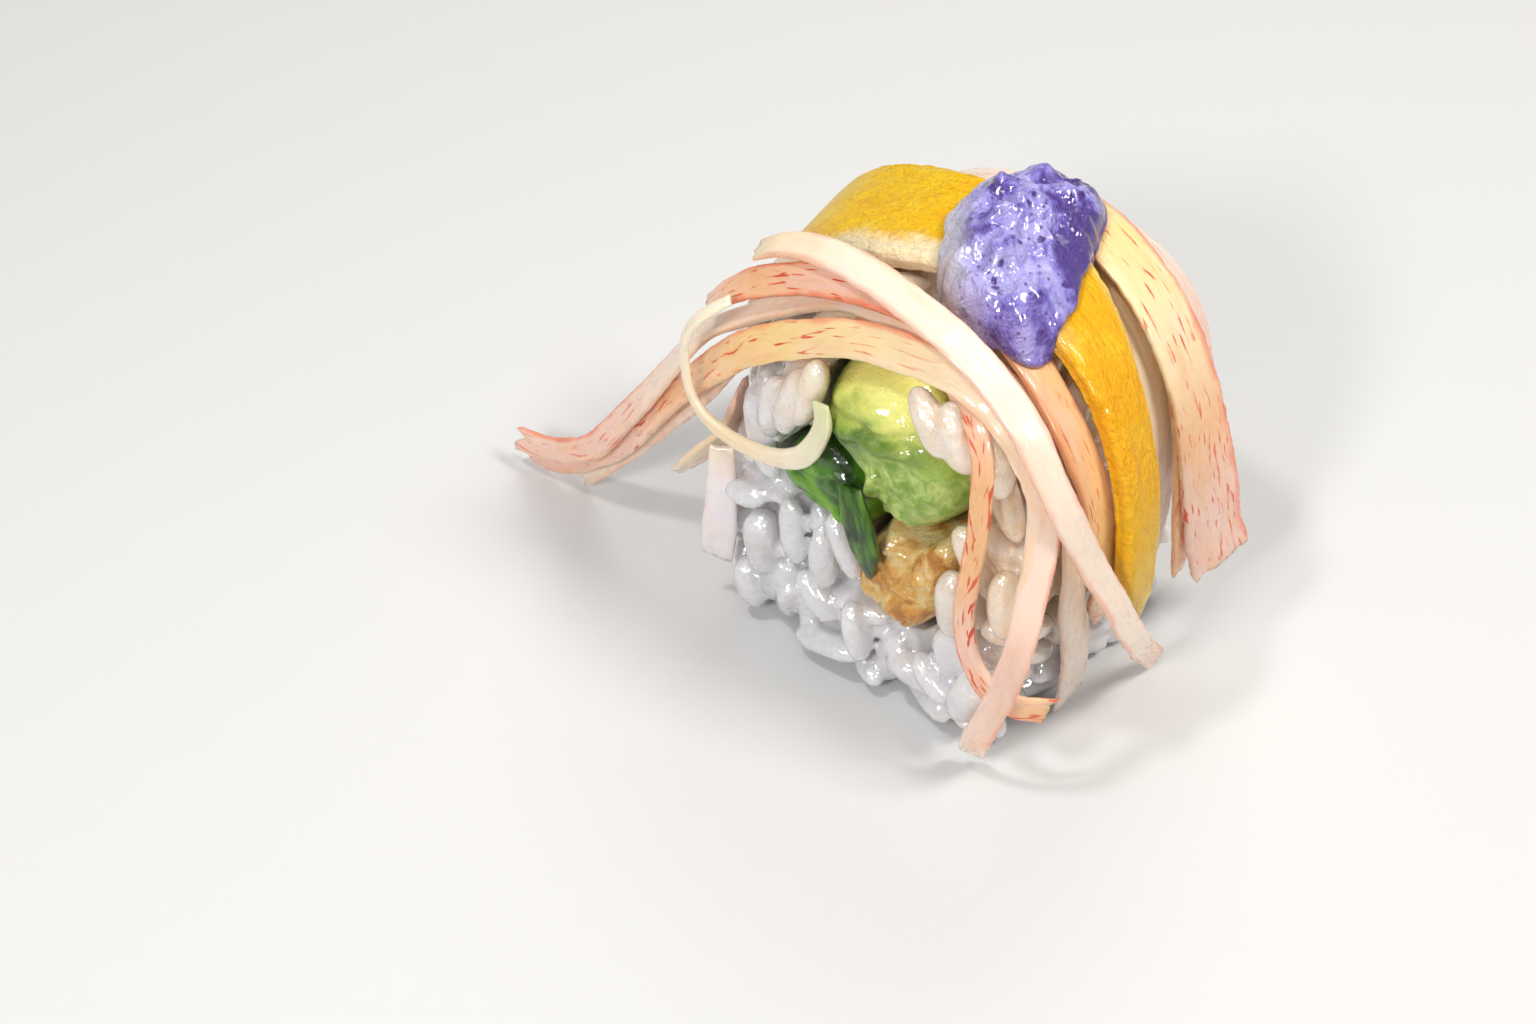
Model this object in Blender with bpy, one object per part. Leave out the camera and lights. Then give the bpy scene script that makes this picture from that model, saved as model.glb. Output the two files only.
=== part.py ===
"""A slice of rice-outside sushi roll under mango, shredded crab stick and a dollop of sauce.

Every length below is in millimetres and is turned into metres when an object is made. The roll
lies along Y with its cut face towards -Y, X runs across that face, and Z is up. The origin is
the middle of the rice's flat underside.
"""

import math
import random

import bmesh
import bpy
from mathutils import Quaternion, Vector, noise
from mathutils.bvhtree import BVHTree

MM = 0.001

# The roll of rice: its section is a rounded arch that leans to the right.
ROLL_WIDTH = 35.0
ROLL_HEIGHT = 43.5
ROLL_LENGTH = 28.5
ROLL_LEAN = 4.5
AXIS_HEIGHT = 19.0
ARCH_EXPONENT = 2.6
FOOT_EXPONENT = 4.0
END_EXPONENT = 6.0
ROLL_RELIEF = 0.35
FOOT_ROUNDING = 7.0
FOOT_TUCK = 3.0

# Grains of cooked rice fused to the roll.
GRAIN_LENGTH = 7.8
GRAIN_THICKNESS = 3.5
GRAIN_SPACING = 2.5
GRAIN_REACH = 1.12
GRAIN_TRIES = 7000
GRAIN_SEED = 14

# Clearances between pieces that touch in the food.
GAP = 0.3
STATION = 3.0
REACH = 14.0
EXTRA_LIFT = 0.6

# Colours: linear red, green and blue.
RICE = (0.80, 0.78, 0.74)
CRAB = (0.86, 0.62, 0.50)
CRAB_PALE = (0.88, 0.76, 0.68)
MANGO = (0.86, 0.44, 0.02)
SAUCE = (0.30, 0.25, 0.62)
AVOCADO = (0.42, 0.56, 0.12)
AVOCADO_DARK = (0.09, 0.26, 0.02)
LEAF = (0.20, 0.45, 0.05)
FISH = (0.68, 0.42, 0.14)


# Shape of the roll

def section_radius(phi):
    """Distance from the roll's axis to its surface, phi radians from straight up towards +X."""
    half_width = ROLL_WIDTH / 2
    half_height = ROLL_HEIGHT - AXIS_HEIGHT
    on_foot = math.cos(phi) < 0 < math.sin(phi)
    exponent = FOOT_EXPONENT if on_foot else ARCH_EXPONENT
    across = abs(math.sin(phi) / half_width) ** exponent
    upward = abs(math.cos(phi) / half_height) ** exponent
    return (across + upward) ** (-1 / exponent)


def over(phi_degrees, y, lift):
    """A point at a lift above the roll's surface."""
    phi = math.radians(phi_degrees)
    radius = section_radius(phi) + lift
    z = AXIS_HEIGHT + radius * math.cos(phi)
    return Vector((radius * math.sin(phi) + ROLL_LEAN * z / ROLL_HEIGHT, y, z))


def free(x, y, z):
    """A point away from the roll."""
    return Vector((x, y, z))


def depth_ratio(point):
    """1 on the roll's surface, less inside and more outside."""
    x = point.x - ROLL_LEAN * point.z / ROLL_HEIGHT
    z = point.z - AXIS_HEIGHT
    ratio = math.hypot(x, z) / section_radius(math.atan2(x, z))
    end = abs(point.y) / (ROLL_LENGTH / 2)
    return (ratio ** END_EXPONENT + end ** END_EXPONENT) ** (1 / END_EXPONENT)


def outward(point):
    """Unit vector that points away from the roll."""
    step = 0.05
    axes = (Vector((step, 0, 0)), Vector((0, step, 0)), Vector((0, 0, step)))
    slope = Vector([depth_ratio(point + axis) - depth_ratio(point - axis) for axis in axes])
    return slope.normalized()


# Building closed bodies

def close_up(bm):
    """Triangles only, all facing out of the body."""
    bmesh.ops.triangulate(bm, faces=bm.faces)
    bmesh.ops.recalc_face_normals(bm, faces=bm.faces)
    if bm.calc_volume(signed=True) < 0:
        bmesh.ops.reverse_faces(bm, faces=bm.faces)
    return bm


def loft(rings):
    """A closed body through rings of points, each ring having the same number of points."""
    bm = bmesh.new()
    rows = [[bm.verts.new(point) for point in ring] for ring in rings]
    count = len(rings[0])
    for row, following in zip(rows, rows[1:]):
        for i in range(count):
            j = (i + 1) % count
            bm.faces.new((row[i], row[j], following[j], following[i]))
    bm.faces.new(rows[0])
    bm.faces.new(rows[-1])
    return close_up(bm)


def end_profile(steps):
    """Pairs of place along a rounded bar, -1 to 1, and its width there, up to 1."""
    pairs = []
    for i in range(1, steps):
        turn = math.pi * i / steps
        along = math.copysign(abs(math.cos(turn)) ** (2 / END_EXPONENT), -math.cos(turn))
        pairs.append((along, math.sin(turn) ** (2 / END_EXPONENT)))
    return pairs


def rounded(points, passes=1):
    """The outline with its corners cut."""
    for _ in range(passes):
        cut = []
        for a, b in zip(points, points[1:] + points[:1]):
            cut.append((0.75 * a[0] + 0.25 * b[0], 0.75 * a[1] + 0.25 * b[1]))
            cut.append((0.25 * a[0] + 0.75 * b[0], 0.25 * a[1] + 0.75 * b[1]))
        points = cut
    return points


def smooth_path(points, spacing):
    """Evenly spaced points on a smooth curve through the given ones."""
    padded = [2 * points[0] - points[1], *points, 2 * points[-1] - points[-2]]
    dense = []
    for a, b, c, d in zip(padded, padded[1:], padded[2:], padded[3:]):
        for i in range(16):
            t = i / 16
            bend = (2 * a - 5 * b + 4 * c - d) * t * t + (3 * b - a - 3 * c + d) * t ** 3
            dense.append(0.5 * (2 * b + (c - a) * t + bend))
    dense.append(points[-1])
    travelled = [0.0]
    for a, b in zip(dense, dense[1:]):
        travelled.append(travelled[-1] + (b - a).length)
    count = max(3, round(travelled[-1] / spacing))
    path = []
    i = 0
    for k in range(count + 1):
        target = travelled[-1] * k / count
        while i < len(dense) - 2 and travelled[i + 1] < target:
            i += 1
        step = travelled[i + 1] - travelled[i]
        path.append(dense[i].lerp(dense[i + 1], (target - travelled[i]) / step))
    return path


def blend(values, t):
    """Value at t, 0 to 1, of evenly spaced values joined by straight lines."""
    place = t * (len(values) - 1)
    i = min(int(place), len(values) - 2)
    return values[i] + (values[i + 1] - values[i]) * (place - i)


# Objects, materials and Booleans

def make_object(name, bm, material):
    mesh = bpy.data.meshes.new(name)
    bmesh.ops.scale(bm, vec=(MM, MM, MM), verts=bm.verts)
    bm.to_mesh(mesh)
    bm.free()
    obj = bpy.data.objects.new(name, mesh)
    bpy.context.collection.objects.link(obj)
    if material:
        mesh.materials.append(material)
    return obj


def make_material(name, colour, roughness):
    material = bpy.data.materials.new(name)
    material.use_nodes = True
    shader = material.node_tree.nodes["Principled BSDF"]
    shader.inputs["Base Color"].default_value = (*colour, 1)
    shader.inputs["Roughness"].default_value = roughness
    shader.inputs["Metallic"].default_value = 0
    return material


def remove_object(obj):
    bpy.data.objects.remove(obj, do_unlink=True)


def apply_modifiers(obj):
    graph = bpy.context.evaluated_depsgraph_get()
    mesh = bpy.data.meshes.new_from_object(obj.evaluated_get(graph))
    obj.modifiers.clear()
    obj.data = mesh


def cut(obj, cutter):
    cutter.hide_render = True
    cutter.display_type = "WIRE"
    modifier = obj.modifiers.new("Cut", "BOOLEAN")
    modifier.operation = "DIFFERENCE"
    modifier.solver = "EXACT"
    modifier.object = cutter
    apply_modifiers(obj)
    remove_object(cutter)


def fuse(obj, pieces):
    """Join many small pieces to an object with one Boolean union."""
    group = bpy.data.collections.new("Fused")
    bpy.context.scene.collection.children.link(group)
    for piece in pieces:
        group.objects.link(piece)
    modifier = obj.modifiers.new("Fuse", "BOOLEAN")
    modifier.operation = "UNION"
    modifier.solver = "EXACT"
    modifier.operand_type = "COLLECTION"
    modifier.collection = group
    apply_modifiers(obj)
    for piece in pieces:
        remove_object(piece)
    bpy.data.collections.remove(group)


def keep_largest_shell(obj):
    """Drop sealed hollows and loose scraps that a union leaves behind."""
    bm = bmesh.new()
    bm.from_mesh(obj.data)
    bmesh.ops.remove_doubles(bm, verts=bm.verts, dist=0.00001)
    shells = []
    left = set(bm.faces)
    while left:
        shell = {left.pop()}
        edge_of = list(shell)
        while edge_of:
            for edge in edge_of.pop().edges:
                for face in edge.link_faces:
                    if face in left:
                        left.discard(face)
                        shell.add(face)
                        edge_of.append(face)
        shells.append(shell)
    largest = max(shells, key=len)
    scraps = [face for shell in shells if shell is not largest for face in shell]
    bmesh.ops.delete(bm, geom=scraps, context="FACES")
    bmesh.ops.triangulate(bm, faces=bm.faces)
    bm.to_mesh(obj.data)
    bm.free()


# Laying pieces on what is below them

class Pile:
    """The surfaces laid so far, in millimetres."""

    def __init__(self):
        self.trees = {}

    def add(self, name, bm):
        self.trees[name] = BVHTree.FromBMesh(bm)

    def height(self, point, normal, names=None):
        """How far the pile stands above a point along its normal; None where nothing is below."""
        top = None
        for name in names or self.trees:
            hit = self.trees[name].ray_cast(point + normal * REACH, -normal, 2 * REACH)
            if hit[0] is not None and (top is None or REACH - hit[3] > top):
                top = REACH - hit[3]
        return top

    def distance(self, point):
        return min(tree.find_nearest(point)[3] for tree in self.trees.values())

    def crossed_by(self, bm):
        """Middles of the faces of a body that cross the pile."""
        own = BVHTree.FromBMesh(bm)
        bm.faces.ensure_lookup_table()
        crossing = {a for tree in self.trees.values() for a, _ in own.overlap(tree)}
        return [bm.faces[i].calc_center_median() for i in crossing]


def path_frames(path, twists):
    """A tangent, side and outward normal at each point, carried down from the highest one."""
    last = len(path) - 1
    tangents = [(path[min(i + 1, last)] - path[max(i - 1, 0)]).normalized()
                for i in range(last + 1)]
    top = max(range(last + 1), key=lambda i: path[i].z)
    frames = [None] * (last + 1)
    for order in (range(top, last + 1), range(top, -1, -1)):
        normal = outward(path[top])
        for i in order:
            tangent = tangents[i]
            away = outward(path[i])
            away -= tangent * away.dot(tangent)
            normal -= tangent * normal.dot(tangent)
            if away.length > 0.5:
                normal = away
            normal = normal.normalized()
            turn = Quaternion(tangent, math.radians(blend(twists, i / last)))
            facing = turn @ normal
            frames[i] = (tangent, tangent.cross(facing).normalized(), facing)
    return frames


def settle(path, frames, widths, thickness, pile, extra):
    """Lift a path until a band along it clears the pile, and smooth the lift."""
    needed = []
    for point, (tangent, side, normal), width in zip(path, frames, widths):
        tops = [0.0]
        for across in (-0.6, -0.3, 0, 0.3, 0.6):
            for along in (-0.9, -0.45, 0, 0.45, 0.9):
                probe = point + side * across * width + tangent * along * STATION
                top = pile.height(probe, normal)
                if top is not None:
                    tops.append(top + GAP + thickness / 2)
        needed.append(max(tops))
    needed = [need + more for need, more in zip(needed, extra)]
    lift = list(needed)
    for _ in range(8):
        ends = [lift[0], *lift, lift[-1]]
        lift = [max(need, (a + 2 * b + c) / 4)
                for need, a, b, c in zip(needed, ends, ends[1:], ends[2:])]
    return [point + frame[2] * up for point, frame, up in zip(path, frames, lift)]


def band_section(count, thickness, width):
    """Points round a flat band with softened edges, as offsets across it and outward."""
    section = []
    for k in range(count):
        turn = math.tau * (k + 0.5) / count
        across = math.copysign(abs(math.cos(turn)) ** 0.7, math.cos(turn))
        up = math.copysign(abs(math.sin(turn)) ** 0.5, math.sin(turn))
        section.append((across * width / 2, up * thickness / 2))
    return section


def band_rings(path, widths, thickness, points_round, wave, twists):
    """Rings of points along a path, all of them clear of the floor."""
    rings = []
    for i, (point, frame) in enumerate(zip(path, path_frames(path, twists))):
        ring = []
        for across, up in band_section(points_round, thickness, widths[i]):
            ripple = wave * abs(math.sin(0.9 * i + 5.0 * across / widths[i]))
            ring.append(point + frame[1] * across + frame[2] * (up + ripple))
        lowest = min(corner.z for corner in ring)
        if lowest < GAP:
            ring = [corner + Vector((0, 0, GAP - lowest)) for corner in ring]
        rings.append(ring)
    return rings


def lay_band(route, widths, thickness, pile, points_round=6, wave=0.0, twists=(0, 0),
             spacing=STATION):
    """A closed band along a route, lifted clear of the pile below it and of the floor."""
    path = smooth_path(route, spacing)
    last = len(path) - 1
    width_at = [blend(widths, i / last) for i in range(last + 1)]
    extra = [0.0] * (last + 1)
    while True:
        laid = settle(path, path_frames(path, twists), width_at, thickness, pile, extra)
        bm = loft(band_rings(laid, width_at, thickness, points_round, wave, twists))
        crossings = pile.crossed_by(bm)
        if not crossings or max(extra) > 4:
            return bm
        for middle in crossings:
            nearest = min(range(last + 1), key=lambda i: (laid[i] - middle).length)
            for i in range(max(0, nearest - 1), min(last, nearest + 1) + 1):
                extra[i] += EXTRA_LIFT / len(crossings)
        bm.free()


# Rice

def roll_body():
    """The roll of rice, with a flat underside, before its grains are added."""
    around = 40
    rings = []
    for along, width in end_profile(14):
        ring = []
        for k in range(around):
            phi = math.tau * k / around
            radius = section_radius(phi)
            relief = ROLL_RELIEF * noise.noise(Vector((phi * 5, along * 4, width * 3)))
            z = AXIS_HEIGHT + (radius * math.cos(phi)) * width
            x = (radius * math.sin(phi)) * width + ROLL_LEAN * z / ROLL_HEIGHT
            tuck = FOOT_TUCK * max(0, 1 - z / FOOT_ROUNDING) ** 2
            point = Vector((x, along * (ROLL_LENGTH / 2 - tuck), z))
            ring.append(point + outward(point) * (relief - ROLL_RELIEF / 2))
        rings.append(ring)
    bm = loft(rings)
    everything = list(bm.verts) + list(bm.edges) + list(bm.faces)
    bmesh.ops.bisect_plane(bm, geom=everything, plane_co=(0, 0, 0), plane_no=(0, 0, -1),
                           clear_outer=True)
    rim = [edge for edge in bm.edges if edge.is_boundary]
    bmesh.ops.edgeloop_fill(bm, edges=rim)
    return close_up(bm)


def grain_shape(centre, direction, length):
    """One grain of rice as a low capsule-like ellipsoid."""
    bm = bmesh.new()
    bmesh.ops.create_uvsphere(bm, u_segments=5, v_segments=4, radius=1)
    turn = Vector((0, 0, 1)).rotation_difference(direction)
    for vert in bm.verts:
        x, y, z = vert.co
        shaped = Vector((x * GRAIN_THICKNESS / 2, y * GRAIN_THICKNESS / 2, z * length / 2))
        vert.co = centre + turn @ shaped
    return bm


def grain_axis(centre, direction, length):
    """Points on a grain's axis with the grain's radius at each."""
    places = []
    for t in (-0.8, -0.45, 0, 0.45, 0.8):
        radius = GRAIN_THICKNESS / 2 * math.sqrt(1 - t * t * 0.8)
        places.append((centre + direction * t * length / 2, radius))
    return places


def place_grains(body, toppings):
    """Seeded places for grains on the open surface of the rice."""
    rng = random.Random(GRAIN_SEED)
    faces = [face for face in body.faces if face.normal.z > -0.6 or face.calc_center_median().z > 1]
    areas = [face.calc_area() for face in faces]
    grains = []
    taken = []
    for _ in range(GRAIN_TRIES):
        face = rng.choices(faces, areas)[0]
        weights = [rng.random() for _ in face.verts]
        point = Vector()
        for weight, vert in zip(weights, face.verts):
            point += vert.co * weight / sum(weights)
        if depth_ratio(point) < 0.9:
            continue
        across = face.normal.orthogonal().normalized()
        angle = rng.uniform(0, math.tau)
        direction = across * math.cos(angle) + face.normal.cross(across) * math.sin(angle)
        if point.z < GRAIN_LENGTH / 2:
            direction.z = 0
            direction.normalize()
        centre = point + face.normal * 0.45
        centre.z = max(centre.z, GRAIN_THICKNESS / 2 + 0.1)
        for share in (1.0, 0.8, 0.6):
            length = GRAIN_LENGTH * share * rng.uniform(0.92, 1.08)
            axis = grain_axis(centre, direction, length)
            if all(toppings.distance(p) > radius + GAP for p, radius in axis):
                break
        else:
            continue
        if max(depth_ratio(axis[0][0]), depth_ratio(axis[-1][0])) > GRAIN_REACH:
            continue
        if any((p - q).length < GRAIN_SPACING for p, _ in axis for q in taken):
            continue
        taken.extend(p for p, _ in axis)
        grains.append((centre, direction, length))
    return grains


# Fillings: outlines across the cut face, as x and z, with the borders that they share.

AVOCADO_TO_SLICE = [(0.0, 29.8), (2.6, 27.2)]
AVOCADO_TO_FISH = [(6.6, 23.6), (9.2, 23.8)]
SLICE_TO_FISH = [(4.0, 21.6)]
WEST = (-3.2, 30.6)
EAST = (12.2, 26.8)
SOUTH = (1.6, 19.2)
MIDDLE = (3.8, 24.6)
AROUND_AVOCADO = [(-3.9, 33.8), (-3.4, 37.2), (0.2, 40.9), (5.0, 42.0), (8.0, 40.8),
                  (9.6, 38.3), (12.1, 35.9), (14.0, 33.3), (13.8, 30.0)]
AROUND_FISH = [(13.6, 23.8), (12.8, 17.2), (10.4, 12.6), (7.5, 9.2), (3.8, 11.0), (-0.6, 13.0)]
AROUND_SLICE = [(-0.2, 20.6), (-3.0, 20.2), (-6.2, 20.4), (-9.8, 22.4), (-6.6, 27.0)]

AVOCADO_OUTLINE = [WEST, *AROUND_AVOCADO, EAST, *reversed(AVOCADO_TO_FISH), MIDDLE,
                   *reversed(AVOCADO_TO_SLICE)]
SLICE_OUTLINE = [WEST, *AVOCADO_TO_SLICE, MIDDLE, *SLICE_TO_FISH, SOUTH, *AROUND_SLICE]
FISH_OUTLINE = [MIDDLE, *AVOCADO_TO_FISH, EAST, *AROUND_FISH, SOUTH, *reversed(SLICE_TO_FISH)]
TUNNEL_OUTLINE = [WEST, *AROUND_AVOCADO, EAST, *AROUND_FISH, SOUTH, *AROUND_SLICE]


def shifted(outline, distance):
    """The clockwise outline moved outwards by a distance, or inwards where it is negative."""
    moved = []
    for before, here, after in zip(outline[-1:] + outline, outline, outline[1:] + outline[:1]):
        first = (Vector(here) - Vector(before)).normalized()
        second = (Vector(after) - Vector(here)).normalized()
        corner = Vector((-first.y - second.y, first.x + second.x))
        corner *= distance / max(0.5, 1 + first.dot(second))
        moved.append((here[0] + corner.x, here[1] + corner.y))
    return moved


def filling(outline, front, back, relief, seed, steps=8):
    """A filling that runs from one y to another, rounded at its ends and lumpy inwards."""
    outline = shifted(rounded(outline), -GAP / 2)
    middle_x = sum(x for x, _ in outline) / len(outline)
    middle_z = sum(z for _, z in outline) / len(outline)
    rings = []
    for along, width in end_profile(steps):
        y = (front + back) / 2 + along * (back - front) / 2
        ring = []
        for x, z in outline:
            lump = abs(noise.noise(Vector((x * 0.35 + seed, y * 0.25, z * 0.35)))) * relief
            share = width * (1 - lump)
            ring.append(Vector((middle_x + (x - middle_x) * share, y,
                                middle_z + (z - middle_z) * share)))
        rings.append(ring)
    return loft(rings)


def tunnel():
    outline = shifted(rounded(TUNNEL_OUTLINE), GAP / 2)
    reach = ROLL_LENGTH
    return loft([[Vector((x, y, z)) for x, z in outline] for y in (-reach, reach)])


# Sauce: its outline from above, as x and y.

SAUCE_OUTLINE = [(-0.8, 6.8), (2.2, 9.4), (3.4, 11.4), (6.8, 11.8), (9.8, 10.4), (11.4, 6.2),
                 (13.2, 1.8), (14.8, -1.8), (15.8, -6.0), (14.2, -8.6), (10.2, -9.0), (5.6, -8.2),
                 (2.6, -5.4), (0.0, -1.2), (-0.8, 3.0)]
SAUCE_CENTRE = (7.4, 1.4)
SAUCE_BASE = 3.2
SAUCE_HEIGHT = 5.0
SAUCE_LUMP = 1.3


def outline_reach(outline, centre, angle):
    """Distance from a centre to a closed outline in one direction."""
    direction = Vector((math.cos(angle), math.sin(angle)))
    reach = 0.0
    for a, b in zip(outline, outline[1:] + outline[:1]):
        start = Vector(a) - Vector(centre)
        edge = Vector(b) - Vector(a)
        spread = direction.cross(edge)
        if abs(spread) < 1e-9:
            continue
        distance = start.cross(edge) / spread
        share = start.cross(direction) / spread
        if distance > reach and -1e-6 <= share <= 1 + 1e-6:
            reach = distance
    return reach


def dollop_body(pile, clearance):
    """A lumpy dollop whose underside follows what it lies on, at a clearance."""
    bm = bmesh.new()
    bmesh.ops.create_uvsphere(bm, u_segments=26, v_segments=12, radius=1)
    up = Vector((0, 0, 1))
    outline = rounded(SAUCE_OUTLINE)
    for vert in bm.verts:
        spread = min(1.0, math.hypot(vert.co.x, vert.co.y))
        angle = math.atan2(vert.co.y, vert.co.x)
        reach = outline_reach(outline, SAUCE_CENTRE, angle) * spread
        x = SAUCE_CENTRE[0] + reach * math.cos(angle)
        y = SAUCE_CENTRE[1] + reach * math.sin(angle)
        tops = [pile.height(Vector((x + dx, y + dy, ROLL_HEIGHT)), up) or 0
                for dx in (-1.1, 0, 1.1) for dy in (-1.1, 0, 1.1)]
        rest = ROLL_HEIGHT + max(tops) + clearance
        roll_top = ROLL_HEIGHT + pile.height(Vector((x, y, ROLL_HEIGHT)), up, ["rice"])
        dome = (1 - spread ** 4) ** 0.5
        lump = SAUCE_LUMP * noise.noise(Vector((x * 0.3, y * 0.3, 3.7)))
        height = rest
        if vert.co.z > 0.01:
            height = roll_top + SAUCE_BASE + (SAUCE_HEIGHT + lump) * dome
            height = max(height, rest + 0.5 + dome)
        elif vert.co.z > -0.01:
            height = rest + 0.3
        vert.co = Vector((x, y, height))
    return close_up(bm)


def sauce_dollop(pile):
    """The dollop at the smallest clearance at which nothing crosses."""
    clearance = GAP
    bm = dollop_body(pile, clearance)
    while pile.crossed_by(bm) and clearance < 2:
        bm.free()
        clearance += 0.1
        bm = dollop_body(pile, clearance)
    return bm


# Bands, from the first laid to the last: name, widths and twists from end to end, thickness,
# points round the section, wave, and the route from the left end to the right end.

UNDER_MANGO = [
    ("band_left_tip", (2.6, 3.4, 2.8, 1.4), (0, 40, 50), 0.8, 6, 0.0,
     [over(-68, -11.0, 0.8), over(-86, -11.6, 0.9), free(-20.2, -12.2, 14.4),
      free(-22.8, -12.2, 10.8)]),
    ("band_left_drop", (2.4, 3.0, 3.6, 3.2), (-50, -40), 0.9, 6, 0.0,
     [free(-14.6, -14.9, 21.4), free(-14.2, -15.4, 16.4), free(-14.4, -15.6, 11.4),
      free(-15.0, -15.4, 6.4)]),
    ("band_under_left", (3.4, 3.0, 2.6), (80, 80, 40, 0), 0.8, 6, 0.0,
     [free(-36.5, -12.0, 1.4), free(-31.0, -12.0, 8.0), free(-25.0, -12.2, 16.0),
      over(-72, -13.0, 3.4), over(-52, -14.0, 1.2), over(-40, -14.2, 0.0)]),
    ("band_middle", (2.4, 2.8, 2.8, 2.6), (0, 0), 0.8, 6, 0.0,
     [over(-14, -10.8, 0.7), over(7, -10.0, 0.7), over(18, -9.6, 0.7), over(29, -9.8, 0.7),
      over(40, -10.2, 0.8), over(53, -10.2, 0.8), over(66, -9.8, 0.8)]),
    ("band_drop", (2.8, 3.4, 3.8, 4.0), (0, 0), 0.9, 6, 0.0,
     [over(56, -9.2, 0.8), over(70, -9.2, 1.0), over(90, -8.4, 1.8), over(111, -6.4, 2.8),
      free(19.7, -4.2, 1.2)]),
    ("band_peach", (3.4, 3.8, 3.6, 3.0), (0, 0), 0.9, 6, 0.0,
     [over(0, -4.8, 0.7), over(18, -6.6, 0.7), over(31, -7.6, 0.7), over(45, -7.6, 0.7),
      over(65, -6.8, 0.7), over(95, -3.6, 0.9), over(116, 0.0, 1.4)]),
    ("band_grey", (5.4, 5.4, 5.2, 4.8), (0, 0), 0.8, 8, 0.15,
     [over(4, 7.4, 0.7), over(20, 6.4, 0.7), over(36, 5.6, 0.7), over(52, 5.4, 0.7),
      over(70, 6.0, 0.7), over(92, 6.8, 0.8), over(110, 6.8, 1.0), over(124, 7.2, 1.0)]),
]
MANGO_ROUTE = [over(-84, 0.2, 4.4), over(-62, 0.6, 5.8), over(-40, 0.6, 4.7), over(-18, 0.6, 2.6),
               over(0, 0.9, 1.8), over(16, -0.8, 1.7), over(31, -2.8, 1.7), over(46, -4.0, 1.7),
               over(63, -4.4, 1.7), over(83, -3.8, 1.7), over(98, -2.4, 1.7), over(107, -1.6, 1.7)]
MANGO_WIDTHS = (9.0, 13.8, 15.2, 14.0, 11.4, 8.2, 5.6, 4.8, 4.2, 2.0)
MANGO_TWISTS = (6, 8, 7, 4, 0, 0, 0, 0, 0)
MANGO_THICKNESS = 2.4
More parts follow.
